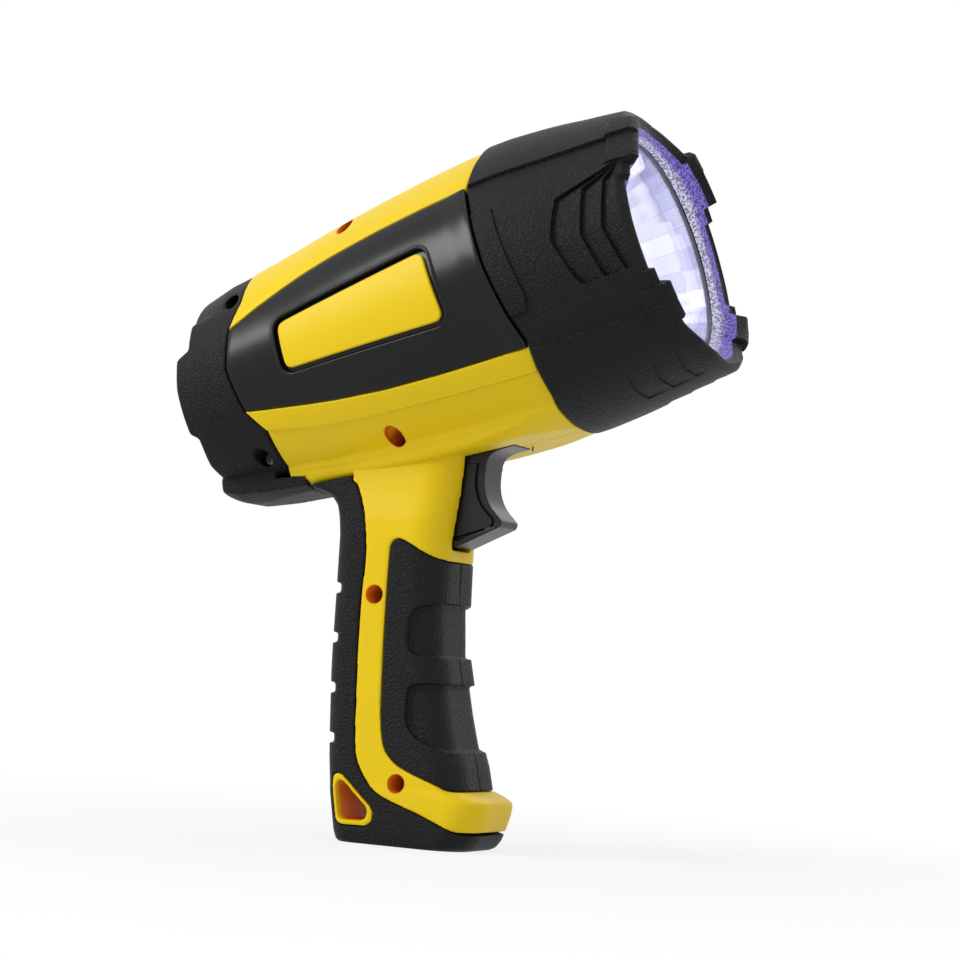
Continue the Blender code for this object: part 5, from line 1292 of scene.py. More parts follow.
@dataclass
class SidePanels:
    """The glossy panels let into the barrel's sides, with the bare yellow badges in their pockets."""

    barrel: Barrel
    thickness: float = 2.8
    centre: Pair = (-101.0, 0.6)
    badge: Points = ((-131.8, 12), (-73.4, 15.4), (-70.9, -13.9), (-131.8, -11))
    badge_corner: float = 3.4
    groove: float = 1.5
    bead: float = 0.42
    bead_profile: Points = (
        (1.15, -0.04), (0.95, -0.6), (0.7, -0.95), (0.45, -0.95), (0.2, -0.5), (0.05, 0.4), (0.0, 1.6),
        (0.0, 4.6),
    )
    pocket_depth: float = 1.5
    flare: float = 0.9
    spokes: int = 420

    def unrolled(self, angle_points: Points) -> np.ndarray:
        """Places as station and arc length on the barrel's surface."""
        radius = self.barrel.body_radius()
        return np.array([(s, math.radians(a) * float(radius(s))) for s, a in angle_points])

    def outline(self) -> np.ndarray:
        """The panel's closed outline, unrolled."""
        top, bottom = eased(self.barrel.panel_top), eased(self.barrel.panel_bottom)
        rear, front = self.barrel.rear(), self.barrel.front()
        upper = [(s, float(top(s))) for s in np.linspace(-151.3, -56.4, 90)]
        lower = [(s, float(bottom(s))) for s in np.linspace(-47.8, -152.3, 90)]
        ahead = [(float(front(a)), a) for a in np.linspace(upper[-1][1], lower[0][1], 40)[1:-1]]
        behind = [(float(rear(a)), a) for a in np.linspace(lower[-1][1], upper[0][1], 30)[1:-1]]
        return self.unrolled([*upper, *ahead, *lower, *behind])

    def badge_outline(self) -> np.ndarray:
        """The badge's closed outline with its rounded corners, unrolled."""
        ring = self.unrolled(self.badge)
        result = []
        for i, corner in enumerate(ring):
            before, after = ring[i - 1], ring[(i + 1) % 4]
            into, out = corner - before, after - corner
            into, out = into / np.linalg.norm(into), out / np.linalg.norm(out)
            bend = math.acos(float(np.clip(into @ out, -1, 1)))
            back = self.badge_corner * math.tan(bend / 2)
            start, end = corner - back * into, corner + back * out
            for t in np.linspace(0, 1, 9):
                result.append((1 - t) ** 2 * start + 2 * t * (1 - t) * corner + t**2 * end)
            result += [end + t * (after - back * out - end) for t in np.linspace(0, 1, 16)[1:-1]]
        return np.array(result)

    def spoke_points(self, ring: np.ndarray, angles: np.ndarray) -> np.ndarray:
        """Where spokes from the centre meet a closed outline."""
        away = ring - self.centre
        turn = np.arctan2(away[:, 1], away[:, 0])
        order = np.argsort(turn)
        turn, away = turn[order], away[order]
        turn = np.concatenate((turn[-1:] - math.tau, turn, turn[:1] + math.tau))
        away = np.concatenate((away[-1:], away, away[:1]))
        found = np.searchsorted(turn, angles, side="right") - 1
        a, b = away[found], away[found + 1]
        direction = np.stack((np.cos(angles), np.sin(angles)), axis=1)
        edge = b - a
        reach = (a[:, 0] * edge[:, 1] - a[:, 1] * edge[:, 0]) / (
            direction[:, 0] * edge[:, 1] - direction[:, 1] * edge[:, 0]
        )
        return self.centre + reach[:, None] * direction

    def surface(self, ring: np.ndarray, depth: np.ndarray | float) -> np.ndarray:
        """Points of the row frame at a depth below the barrel's surface."""
        radius = self.barrel.body_radius()(ring[:, 0])
        flare = self.flare * ramp(ring[:, 0], self.barrel.front()(np.degrees(ring[:, 1] / radius)) - 5.0, 10)
        return on_barrel(ring[:, 0], radius - depth + flare, np.degrees(ring[:, 1] / radius))

    def stacked(self, name: str, rings: "Sequence[tuple[np.ndarray, float]]") -> Piece:
        """A closed solid through rings that each lie at their own depth."""
        return laid(name, hooped(np.array([self.surface(ring, depth) for ring, depth in rings])))

    def panel(self) -> Piece:
        """The panel as rings from its underside over its edge and down into its pocket."""
        badge = self.badge_outline()
        outline = np.array(offset(self.outline(), -GAP / 2))
        turns = np.arctan2(outline[:, 1] - self.centre[1], outline[:, 0] - self.centre[0])
        even = np.linspace(-math.pi, math.pi, self.spokes, endpoint=False)
        angles = np.unique(np.concatenate((even, turns)))
        keep = np.concatenate(([True], np.diff(angles) > 0.002))
        angles = angles[keep]

        def shifted(ring: np.ndarray, distance: float) -> np.ndarray:
            return self.spoke_points(np.array(offset(ring, distance)), angles)

        deep = self.thickness
        rings = [(shifted(outline, -a), d) for a, d in rolled_ends(0.6, deep)]
        outer, inner = shifted(outline, -0.6), shifted(badge, self.groove + 1.5)
        for t in np.linspace(0, 1, 14)[1:]:
            rings.append(((1 - t) * outer + t * inner, 0.0))
        for a, d in self.bead_profile:
            rings.append((shifted(badge, self.groove + a), d * self.bead))
        rings.append((shifted(badge, self.groove - 0.15), self.pocket_depth))
        rings.append((shifted(badge, -1.0), self.pocket_depth))
        floor = shifted(badge, -1.0)
        middle = np.array(self.centre)
        rings += [(middle + t * (floor - middle), self.pocket_depth) for t in (0.75, 0.5, 0.25, 0.05)]
        under = shifted(outline, 0)
        back = [(middle + t * (under - middle), deep) for t in (0.05, 0.35, 0.7)]
        return self.stacked("panel_right", [*back, *rings])

    def plate(self) -> Piece:
        """The bare badge as rings from its underside over its edge to its middle."""
        badge = self.badge_outline()
        angles = np.linspace(-math.pi, math.pi, 300, endpoint=False)

        def shifted(distance: float) -> np.ndarray:
            return self.spoke_points(np.array(offset(badge, distance)), angles)

        middle = np.array(self.centre)
        base = shifted(0)
        rings = [(middle + t * (base - middle), self.pocket_depth - 0.1) for t in (0.05, 0.4, 0.8)]
        rings += [(shifted(-a), d + 0.1) for a, d in rolled_ends(0.7, self.pocket_depth - 0.2, 6)]
        top = shifted(-0.7)
        rings += [(middle + t * (top - middle), 0.1) for t in np.linspace(0.97, 0.03, 14)]
        return self.stacked("badge_plate_right", rings)

    def build(self, palette: Palette) -> None:
        """Model the right pair, mirror it and dress all four."""
        panel, plate = self.panel(), self.plate()
        far_panel, far_plate = mirrored(panel, "panel_left"), mirrored(plate, "badge_plate_left")
        for side, piece in (("right", panel), ("left", far_panel)):
            finished(piece, palette, "panel_gloss", "casing", [f"side_panel_{side}"], 50)
        for side, piece in (("right", plate), ("left", far_plate)):
            finished(piece, palette, "casing_yellow", "casing", [f"badge_{side}"], 50)


@dataclass
class BezelGuard:
    """The rubber guard round the lamp head: a toothed rim, louvred sides and a cone down to the lens."""

    barrel: Barrel
    rim: Points = (
        (-90, 2.0), (-74, 2.4), (-62, 1.4), (-50, -0.6), (-46.1, -0.8), (-45.7, 1.4), (-28.9, 1.4),
        (-28.5, -2.0),
        (-22.2, -2.2), (-21.7, -4.0), (0, -4.2), (19.8, -4.0), (20.3, -2.2), (27.3, -2.0), (27.8, 1.4),
        (52.8, 1.4), (53.3, -1.4), (64, -3.4), (78, -5.4), (90, -5.6),
    )
    rim_steps: tuple[float, ...] = (-46.1, -28.5, -22.2, -21.7, 19.8, 20.3, 27.8, 53.3)
    upper_seam: Points = ((-60, 35.8), (-45, 36.5), (-30, 37.5), (-20, 39.5), (-10, 41.5), (4, 44))
    lower_seam: Points = ((-60, -34.5), (-48, -34.5), (-10, -36.5), (4, -37))
    seam_angles: Pair = (40.0, -36.0)
    seam_reach: float = 9.0
    side_depth: float = 1.2
    collar: Points = (
        (-90, -44), (-60, -44), (-30, -45.6), (-21, -43.4), (-15, -42.5), (0, -44.5), (10, -46), (21, -47),
        (90, -46),
    )
    collar_rise: float = 0.7
    collar_half: float = 21.0
    louvres: tuple[Points, ...] = (
        (
            (-90, -23.2), (-81, -24.3), (-71, -25.5), (-61, -24.4), (-50, -24), (-19, -24), (-15, -26),
            (1, -30), (10, -28), (17, -26), (20, -20), (25, -10), (27, -6.8), (31, -11), (40, -20), (90, -24),
        ),
        (
            (-90, -14.6), (-81, -15.6), (-71, -16.8), (-61, -15.7), (-50, -16.2), (-19, -17), (0, -20.5),
            (18.5, -17.2), (22, -11.5), (27, -5.6), (31, -8.5), (40, -14), (90, -17.5),
        ),
        (
            (-90, -6.2), (-81, -7.3), (-71, -8.5), (-61, -7.4), (-50, -8.6), (-19, -10), (0, -13.5),
            (20, -10.2), (27, -4.6), (31, -6.5), (40, -9), (90, -11.5),
        ),
    )
    louvre_depth: float = 1.5
    louvre_span: Pair = (-18.6, 27.0)
    chevron_depth: float = 0.4
    chevron_span: Pair = (-81.0, -61.0)
    tooth_spans: tuple[Pair, ...] = ((-45.9, -28.7), (27.5, 53.0))
    tooth_rise: float = 1.0
    tooth_start: float = -8.6
    row_counts: tuple[int, ...] = (20, 16, 8, 8, 7, 9)
    lead: float = 0.12
    mouth: float = 42.6
    lens_seat: float = 35.6
    lip: Pair = (-6.6, -8.2)
    sleeve: Points = ((-60, 45.9), (-12.5, 41.6))
    roll: float = 0.9
    chamfer: tuple[Pair, ...] = ((0.4, 0.12), (0.9, 0.5), (1.9, 1.5), (2.25, 2.0), (2.3, 2.6))

    def columns(self) -> np.ndarray:
        """Angles of the columns on one side, close together on both flanks of every step."""
        steps = [*self.seam_angles, *self.louvre_span, *self.chevron_span]
        steps += [-self.collar_half, self.collar_half]
        for span in self.tooth_spans:
            steps += span
        steps += self.rim_steps
        pairs = np.unique(np.concatenate([(a - 0.14, a + 0.14) for a in steps]))
        even = np.linspace(-90, 90, 250)
        clear = np.abs(even[:, None] - pairs[None]).min(axis=1) > 0.3
        joined = np.unique(np.concatenate((even[clear], pairs)))
        return joined[np.concatenate(([True], np.diff(joined) > 0.05))]

    def between(self, angle: np.ndarray, span: Pair) -> np.ndarray:
        """One inside a span of angles and zero outside."""
        return ((angle > span[0]) & (angle < span[1])).astype(float)

    def turned(self, station: np.ndarray, angle: np.ndarray) -> np.ndarray:
        """Angles with the columns at the seams bent on to them."""
        upper, lower = self.seam_angles
        high, low = (
            np.clip(1 - np.abs(angle - at) / self.seam_reach, 0, 1) * (eased(seam, 6)(station) - at)
            for at, seam in ((upper, self.upper_seam), (lower, self.lower_seam))
        )
        return angle + high + low

    def base_depth(self, station: np.ndarray, angle: np.ndarray) -> np.ndarray:
        """Depth of the side between its seams, and the rise of the teeth's blocks."""
        upper, lower = self.seam_angles
        depth = self.side_depth * self.between(angle, (lower, upper))
        depth *= 1 - 0.7 * ramp(-angle, -lower - 9, 16) * (angle < 0)
        block = sum(self.between(angle, span) for span in self.tooth_spans)
        return depth - self.tooth_rise * block * ramp(station, self.tooth_start, 0.9)

    def rows(self) -> np.ndarray:
        """Rows of the guard from its rear inner edge over the outside and the rim into the mouth."""
        radius = self.barrel.guard_radius()
        near = self.columns()
        angle = np.concatenate((near[:-1], near[::-1]))
        flip = np.concatenate((np.zeros(len(near) - 1), np.ones(len(near))))
        rear, rim = self.barrel.front()(angle) + GAP, stepped(self.rim)(angle)
        soft = self.chamfer[-1][0]
        rows = Rows(angle)
        add, sleeve, roll = rows.add, stepped(self.sleeve), self.roll
        inner_end, inner_radius = self.sleeve[-1]
        add(rear, sleeve(rear))
        on_collar = self.between(angle, (-self.collar_half, self.collar_half))
        for inset, depth in rolled_ends(roll, 3.5):
            place = rear + inset
            add(place, radius(place) - self.base_depth(place, angle) + self.collar_rise * on_collar - depth)
        lines = [rear + roll, np.maximum(stepped(self.collar)(angle), rear + roll + 1.0)]
        lines += [stepped(points)(angle) for points in self.louvres]
        lines += [np.minimum(-3.5, rim - soft - 0.7), rim - soft]
        for k in range(1, len(lines) - 1):
            lines[k] = np.maximum(lines[k], lines[k - 1] + 0.5)
        slope = self.louvre_depth * self.between(angle, self.louvre_span)
        slope = slope + self.chevron_depth * self.between(angle, self.chevron_span)
        for k, ((start, stop), count) in enumerate(zip(pairwise(lines), self.row_counts)):
            small = np.clip((stop - start) / 4.0, 0, 1)
            lead = self.lead * (k > 0)
            for t in np.linspace(0, 1, count + 1)[1 if k == 0 else 0:]:
                place = start + lead + t * (stop - start - lead)
                depth = self.base_depth(place, angle)
                if k == 0:
                    depth = depth - self.collar_rise * on_collar
                if k in (2, 3, 4):
                    depth = depth + slope * small * (1 - t)
                add(place, radius(place) - depth)
        edge = rim - soft
        top = radius(edge) - self.base_depth(edge, angle)
        for inset, drop in self.chamfer:
            add(edge + inset, top - drop)
        inner = np.minimum(self.mouth - 0.2, top - self.chamfer[-1][1] - 0.3)
        add(rim - 0.4, inner)
        for t in np.linspace(0, 1, 14)[1:]:
            add(rim - 0.4 + t * (self.lip[0] - rim + 0.4), inner + t * (self.lens_seat - inner))
        add(self.lip[0] - 0.4, self.lens_seat - 0.1)
        add(self.lip[1], self.lens_seat)
        add(self.lip[1], inner_radius)
        add(inner_end, inner_radius)
        add(rear, sleeve(rear))
        places = np.array(rows.station)
        bent = self.turned(places, angle[None])
        turn = np.where(flip[None] > 0, 180 - bent, bent)
        return on_barrel(places, np.array(rows.radius), turn)

    def build(self, palette: Palette) -> None:
        """Model the guard and dress it."""
        guard = thinned(laid("guard", self.rows()), 190000)
        # the guard's mouth carries the painted lamp glow
        finished(guard, palette, "grip_rubber", "casing", ["bezel_guard"], 40, "lit_rubber")


@dataclass
class EndCap:
    """The black end cap: a lobed rim, the keel and the recessed face behind the charging socket."""

    barrel: Barrel
    handle: Handle
    rim: Points = (
        (-90, -175.2), (-62, -175), (-50, -175.8), (-38, -174.6), (-31, -174), (-27, -176.6), (0, -176),
        (17.5, -174.2), (20, -169), (37, -168.2), (90, -167.6),
    )
    chamfer: Triple = (-156.0, 12.0, 1.5)
    wall: float = 2.6
    bore: float = 33.9
    joint_roll: Pair = (0.8, 2.2)
    edge_roll: Pair = (1.2, 1.4)
    lobe_from: float = 38.0
    inner_steps: Points = ((28.5, 0), (26.5, 3.4), (24.0, 1.5), (23.4, 0))
    face: float = -166.1
    keel: Points = (
        (-42.2, 136), (-42.2, 114.8), (-50.3, 113), (-57.2, 111.4), (-63.5, 110.2), (-69.1, 109.6),
        (-73.4, 110.5), (-75.6, 112.8), (-76.4, 116.5), (-72, 136),
    )
    keel_half: float = 15.5
    keel_round: float = 3.4
    keel_overlap: float = 2.0
    keel_limit: Points = ((-180, 35.4), (-172, 39), (-160, 41.4), (-146.5, 43.2), (-128, 46.5))
    boss: Triple = (4.2, 2.7, -15.0)
    boss_inset: float = 0.6
    screws: tuple[Pair, ...] = ((-151.7, 24.3), (-155.4, -28.6))
    socket: Pair = (5.8, -4.0)
    light: Triple = (2.3, -4.0, 15.0)
    hinge: Pair = (-167.9, 6.4)
    ears: tuple[Pair, ...] = ((6.3, 4.3), (-4.3, -6.3))
    ear_reach: float = 1.6
    ear_half: float = 1.5
    voxel: float = 0.55
    triangles: int = 170000

    def shell(self) -> Piece:
        """The cap's turned body with its slanted joint and lobed rim."""
        radius, joint = self.barrel.cap_radius(), self.barrel.rear()
        turn = np.linspace(0, 360, 361)
        angle = folded(turn)
        front, rim = joint(angle) - GAP, eased(self.rim, 1.2)(angle)
        begin, run, drop = self.chamfer
        rows, bore = Rows(turn), self.bore
        add = rows.add

        def outside(place: np.ndarray) -> np.ndarray:
            slant = drop * ramp(angle, self.lobe_from, 5) * np.clip((begin - place) / run, 0, 1)
            return radius(place) - slant

        deep, wide = self.edge_roll
        add(self.face + self.wall, 0.0)
        add(self.face + self.wall, bore - self.wall)
        add(-161.4, bore)
        add(front, bore)
        for inset, depth in rolled_ends(*self.joint_roll):
            add(front - inset, outside(front) - depth)
        behind = front - self.joint_roll[0]
        for t in np.linspace(0, 1, 30)[1:]:
            place = behind + t * (rim + deep - behind)
            add(place, outside(place))
        for t in np.linspace(0, math.pi / 2, 6)[1:]:
            add(rim + deep * (1 - math.sin(t)), outside(rim + deep) - wide * (1 - math.cos(t)))
        (lip, _), *slope, (flat, _) = self.inner_steps
        add(rim, lip)
        for reach, behind in slope:
            add(np.maximum(rim, self.face - behind), reach)
        add(self.face, flat)
        add(self.face, 0.0)
        return rows.laid("end_cap")

    def build(self, palette: Palette) -> None:
        """Model the cap with its keel, holes and ears, and dress it."""
        cap = self.shell()
        half = self.keel_half
        outline = flowing(self.keel[:2], 1) + flowing(self.keel[2:-1]) + [self.keel[-1]]
        keel = slab("keel", outline, half, -half)
        sharp = math.radians(50)
        applied(keel, "BEVEL", width=self.keel_round, segments=5, limit_method="ANGLE", angle_limit=sharp)
        fitted(keel, Fitting.KEEP, revolved("keel_limit", self.keel_limit))
        fitted(keel, Fitting.TAKE, Casing(self.barrel, self.handle).barrel_core(GAP))
        radius = self.barrel.cap_radius()
        room = [(s, float(radius(s)) - self.keel_overlap) for s in np.arange(-162.0, -139, 3)]
        fitted(keel, Fitting.TAKE, revolved("room", room))
        fitted(cap, Fitting.ADD, keel)
        outer, inner, floor = self.boss
        limit = [(s, float(radius(s)) - self.boss_inset) for s in (-165, -155, -145)]
        for place in side_view(self.screws):
            tube = post("boss", place, outer, floor + 2, -AWAY)
            fitted(tube, Fitting.KEEP, revolved("limit", limit))
            fitted(cap, Fitting.ADD, tube)
            fitted(cap, Fitting.TAKE, post("well", place, inner, floor, -AWAY))
        s, h = self.hinge
        back, low, high = s - self.ear_reach, h - self.ear_half, h + self.ear_half
        for left, right in self.ears:
            ear = [(back, low), (self.face + 1, low), (self.face + 1, high), (back, high)]
            fitted(cap, Fitting.ADD, slab("ear", side_view(ear), left, right))
        for reach, h, left in ((self.socket[0], self.socket[1], 0.0), self.light):
            hole = spun("hole", [(-170, 0), (-170, reach), (-160, reach), (-160, 0)], 48)
            set_corners(hole, corners(hole) + h * RISING + left * ACROSS)
            fitted(cap, Fitting.TAKE, hole)
        softened(cap, self.voxel, 3)
        finished(thinned(cap, self.triangles), palette, "grip_rubber", "casing", ["rear_cap"], 60)


@dataclass
class Grips:
    """The finger grip with its two grooves and the palm strap with its notches and foot."""

    barrel: Barrel
    handle: Handle
    thickness: float = 2.4
    foot: float = 6.2
    groove_depth: float = 1.9
    upper_groove: Points = (
        (0.2, 63.6), (-0.6, 66), (-0.7, 73), (0.4, 76.6), (3, 78), (9, 79.8), (40, 80.3), (40, 61.8),
        (6, 62), (2, 62.2),
    )
    lower_groove: Points = (
        (0.8, 50.6), (0.6, 42), (1.8, 38.5), (5, 35.3), (10, 33), (15, 31.7), (20, 32), (40, 33.2),
        (40, 54.4), (10, 53.2), (4, 52.9), (1.8, 52.2),
    )
    keel_side: Points = ((-120, 100), (-41.8, 100), (-41.8, 160), (-120, 160))
    top: float = 110.0
    parting_half: float = 0.35
    parting_depth: float = 0.5
    finger_voxel: float = 0.42
    palm_voxel: float = 0.45
    triangles: int = 170000
    notch_places: tuple[float, ...] = (33.4, 49.8, 66.2, 82.6)
    notch_reach: float = 4.6
    notch_height: float = 3.4
    notch_depth: float = 1.5

    def room(self) -> Piece:
        """The casing's core, which both grips wrap round."""
        return self.handle.solid("core_room", self.thickness, self.foot, flared=False)

    def finger(self) -> Piece:
        """The finger grip."""
        grip = self.handle.solid("finger_grip", 0, 0, top=self.top)
        region = offset(self.handle.finger_region(), -GAP)
        fitted(grip, Fitting.KEEP, through("region", region))
        for outline in (self.upper_groove, self.lower_groove):
            groove = through("groove", outline)
            floor = self.handle.solid("groove_floor", self.groove_depth, 0, top=self.top)
            fitted(groove, Fitting.TAKE, floor)
            fitted(grip, Fitting.TAKE, groove)
        fitted(grip, Fitting.TAKE, self.room())
        heights = np.arange(18.0, 97, 2)
        front = [(float(self.handle.section(z, self.parting_depth, True)[1]), z) for z in heights]
        line = [*front, *((x + 8, z) for x, z in reversed(front))]
        fitted(grip, Fitting.TAKE, slab("parting_line", line, self.parting_half, -self.parting_half))
        return thinned(softened(grip, self.finger_voxel, 2), self.triangles)

    def palm(self) -> Piece:
        """The palm strap with the foot."""
        handle = self.handle
        strap = handle.solid("palm_strap", 0, 0)
        fitted(strap, Fitting.KEEP, through("region", offset(handle.palm_region(), -GAP)))
        fitted(strap, Fitting.TAKE, self.room(), Casing(self.barrel, handle).barrel_core(GAP))
        fitted(strap, Fitting.TAKE, through("belly_room", self.barrel.above_belly()))
        radius = self.barrel.cap_radius()
        cap = [(s, float(radius(s)) + GAP) for s in np.arange(-170.0, -139, 3)]
        fitted(strap, Fitting.TAKE, revolved("cap_room", cap))
        fitted(strap, Fitting.TAKE, through("eye_room", offset(handle.eye, GAP)))
        fitted(strap, Fitting.TAKE, through("keel_side", self.keel_side))
        for height in self.notch_places:
            rear = float(handle.section(height, 0, True)[0])
            low, high = height - self.notch_height / 2, height + self.notch_height / 2
            ahead = rear + self.notch_reach
            notch = through("notch", [(rear - 6, low), (ahead, low), (ahead, high), (rear - 6, high)])
            floor = handle.solid("notch_floor", self.notch_depth, 0, flared=False, top=self.top)
            fitted(strap, Fitting.TAKE, fitted(notch, Fitting.TAKE, floor))
        return thinned(softened(strap, self.palm_voxel, 2), self.triangles)

    def build(self, palette: Palette) -> None:
        """Model both grips and dress them."""
        finished(self.finger(), palette, "grip_rubber", "casing", ["grip_front"], 60)
        finished(self.palm(), palette, "grip_rubber", "casing", ["grip_back"], 60)


@dataclass
class Trigger:
    """The satin grey trigger: a finger plate that wraps its front and foot, side pads and its arm."""

    outline: Points = (
        (18.2, 127), (17.8, 121), (18.6, 116.2), (20.6, 112.2), (23.4, 109.2), (24.9, 107.4), (24.4, 105.6),
        (9.2, 98.2), (6.5, 98.2), (6.5, 128), (18.4, 129),
    )
    flange: Points = (
        (12, 126), (18, 126.4), (19.2, 128.8), (21.6, 130.5), (24.6, 131.5), (27.4, 132.3), (27.4, 136),
        (12, 136),
    )
    arm: Points = (
        (6.5, 129), (27.2, 132.8), (27.2, 134.6), (30.4, 137), (29.6, 140.4), (24, 142), (14.4, 137),
        (6.5, 131),
    )
    nub: Points = ((4.2, 118.6), (8, 118.6), (8, 120.4), (4.2, 120.4))
    nub_half: float = 2.1
    hub_radius: float = 3.6
    bore_radius: float = 1.8
    foot: float = 98.2
    pivot: Pair = (27.0, 137.5)
    plate_half: float = 6.95
    pad_half: float = 6.3
    core_half: float = 5.3
    arm_half: float = 3.4
    plate_thickness: float = 2.3
    groove: float = 1.25

    def inside(self, outline: Points, depth: float, toe: float) -> Piece:
        """All that lies deeper than a depth behind the front and over the foot, from a toe back."""
        line = [(x - depth, z) for x, z in outline[:-4]]
        base = self.foot + depth
        return slab("inside", [*line, (toe, base), (0, base), (0, 140), (line[0][0], 140)], 20, -20)

    def build(self, palette: Palette) -> None:
        """Model the trigger with its arm and dress it."""
        smooth = [*flowing(self.outline[:7], 5), *self.outline[7:]]
        trigger = slab("trigger_lever", smooth, self.core_half, -self.core_half)
        plate = slab("plate", smooth, self.plate_half, -self.plate_half)
        fitted(plate, Fitting.TAKE, self.inside(smooth, self.plate_thickness, 9.4))
        pads = slab("pads", smooth, self.pad_half, -self.pad_half)
        fitted(pads, Fitting.KEEP, self.inside(smooth, self.plate_thickness + self.groove, 9.0))
        edge = flowing(self.flange[1:6], 4) + [*self.flange[6:], self.flange[0]]
        flange = slab("flange", edge, self.plate_half, -self.plate_half)
        arm = slab("arm", self.arm, self.arm_half, -self.arm_half)
        hub = post("hub", self.pivot, self.hub_radius, self.arm_half, -self.arm_half)
        nub = slab("nub", self.nub, self.nub_half, -self.nub_half)
        fitted(trigger, Fitting.ADD, plate, pads, flange, arm, hub, nub)
        fitted(trigger, Fitting.TAKE, post("pin_room", self.pivot, self.bore_radius, 10, -10))
        softened(trigger, 0.3, 2)
        finished(trigger, palette, "dark_plastic", "trigger", ["trigger"], 60)


@dataclass
class LampHead:
    """The lens, its gasket, the faceted mirror bowl and the emitter's dome."""

    lens_radius: float = 40.4
    lens_face: float = -8.9
    lens_back: float = -11.2
    mouth: float = 35.6
    neck_radius: float = 5.0
    neck_station: float = -58.1
    flange: Pair = (-11.5, -13.2)
    facet_rings: int = 9
    facet_sectors: int = 30
    facet_fade: float = 20.0
    crown: float = 0.35
    ripple: float = 0.22
    thickness: float = 1.8
    ring_span: Pair = (0.3, 1.2)
    ring_width: float = 4.6
    ring_corner: float = 0.2
    dome_height: float = 2.4
    dome_radius: float = 3.6

    def lens(self) -> Piece:
        """The clear lens with a rounded edge."""
        face, back, edge = self.lens_face, self.lens_back, self.lens_radius
        profile = [
            (back, 0), (back, 20), (back, edge - 0.3), (back + 0.3, edge), (face - 0.4, edge),
            (face, edge - 0.4), (face, 36), (face, 20), (face, 0),
        ]
        return spun("front_lens", profile, 128)

    def bowl(self) -> Piece:
        """The bowl with flat facets on its mirror side."""
        count = self.facet_sectors * 4
        rise = (self.mouth**2 - self.neck_radius**2) / (self.flange[0] - self.neck_station)
        turn = np.linspace(0, 360, count + 1)
        crown = np.cos(np.radians(turn * self.facet_sectors)) * 0.5 + 0.5
        rows = Rows(turn)
        steps = self.facet_rings * 4

        def curve(i: int) -> Pair:
            r = self.neck_radius + (self.mouth - self.neck_radius) * i / steps
            return self.neck_station + (r**2 - self.neck_radius**2) / rise, r

        for i in range(steps + 1):
            s, r = curve(i)
            ripple = 0.5 - 0.5 * math.cos(math.tau * i / 4)
            fade = min(1, r / self.facet_fade)
            rows.add(s, r - self.crown * (1 - crown) * fade + self.ripple * ripple * fade)
        rows.add(self.flange[0], self.lens_radius)
        rows.add(self.flange[1], self.lens_radius)
        rows.add(self.flange[1], self.mouth + 1.6)
        for i in range(steps - 4, -1, -2):
            s, r = curve(i)
            rows.add(min(s, self.flange[1] - 0.3), r + self.thickness)
        rows.close()
        return rows.laid("mirror_bowl")

    def gasket(self) -> Piece:
        """The soft ring between the lens and the guard's lip."""
        near, far = (self.lens_face + ahead for ahead in self.ring_span)
        outer, inner = self.lens_radius, self.lens_radius - self.ring_width
        corner = self.ring_corner
        profile = [
            (near, inner + corner), (near, outer - corner), (near + corner, outer), (far - corner, outer),
            (far, outer - corner), (far, inner + corner), (far - corner, inner), (near + corner, inner),
        ]
        return spun("lens_ring", profile, 128)

    def dome(self) -> Piece:
        """The emitter's rounded dome."""
        base, reach = self.neck_station, self.dome_radius
        turns = np.linspace(0, math.pi / 2, 9)
        arc = [(base + self.dome_height + reach * math.sin(t), reach * math.cos(t)) for t in turns]
        profile = [(base, 0), (base, reach), *arc[:-1], (arc[-1][0], 0)]
        return spun("emitter_dome", profile, 32)

    def build(self, palette: Palette) -> None:
        """Model the lamp's front pieces and dress them."""
        finished(self.lens(), palette, "clear_lens", "casing", ["lens"], 30)
        finished(self.bowl(), palette, "bowl_coating", "casing", ["reflector"], 14)
        finished(self.gasket(), palette, "grip_rubber", "casing", ["lens_gasket"], 50)
        finished(self.dome(), palette, "emitter", "casing", ["led_emitter"], 50)


@dataclass
class Screws:
    """Pan-head screws with a cross recess at the bottom of their wells."""

    casing: Casing
    cap: EndCap
    head_radius: float = 2.5
    head_height: float = 1.8
    shank_radius: float = 1.25
    head_round: float = 0.55
    cross_reach: float = 1.5
    cross_half: float = 0.28
    cross_depth: float = 1.0

    def screw(self, name: str, place: Pair, seat: float, tip: float, scale: float) -> Piece:
        """One screw from its seat to its tip.

        Args:
            name: name of the piece.
            place: its side-view place.
            seat: Y of the head's underside.
            tip: Y of its tip.
            scale: size of its head against the largest.

        Returns:
            The closed solid.
        """
        reach, tall = self.head_radius * scale, self.head_height
        head = post(name, place, reach, seat, seat - tall)
        applied(head, "BEVEL", width=self.head_round, segments=4, limit_method="ANGLE")
        fitted(head, Fitting.ADD, post("shank", place, self.shank_radius, tip, seat - tall / 2))
        x, z = place
        reach, half = self.cross_reach * scale, self.cross_half
        for wide, high in ((reach, half), (half, reach)):
            slot = [(x - wide, z - high), (x + wide, z - high), (x + wide, z + high), (x - wide, z + high)]
            fitted(head, Fitting.TAKE, slab("slot", slot, seat - tall + self.cross_depth, seat - tall - 1))
        return head

    def build(self, palette: Palette) -> None:
        """Model the six screws and dress them."""
        seat = self.casing.well_floor - GAP
        names = ("handle_screw_upper", "handle_screw_lower", "barrel_screw_upper", "barrel_screw_lower")
        for name, place in zip(names, self.casing.wells()):
            screw = self.screw(name + "_cross", place, seat, 10.0, 1.0)
            finished(screw, palette, "zinc_steel", "casing", [name], 35)
        seat = self.cap.boss[2] - GAP
        for name, place in zip(("cap_screw_upper", "cap_screw_lower"), side_view(self.cap.screws)):
            screw = self.screw(name + "_cross", place, seat, seat + 9, 0.92)
            finished(screw, palette, "zinc_steel", "casing", [name], 35)


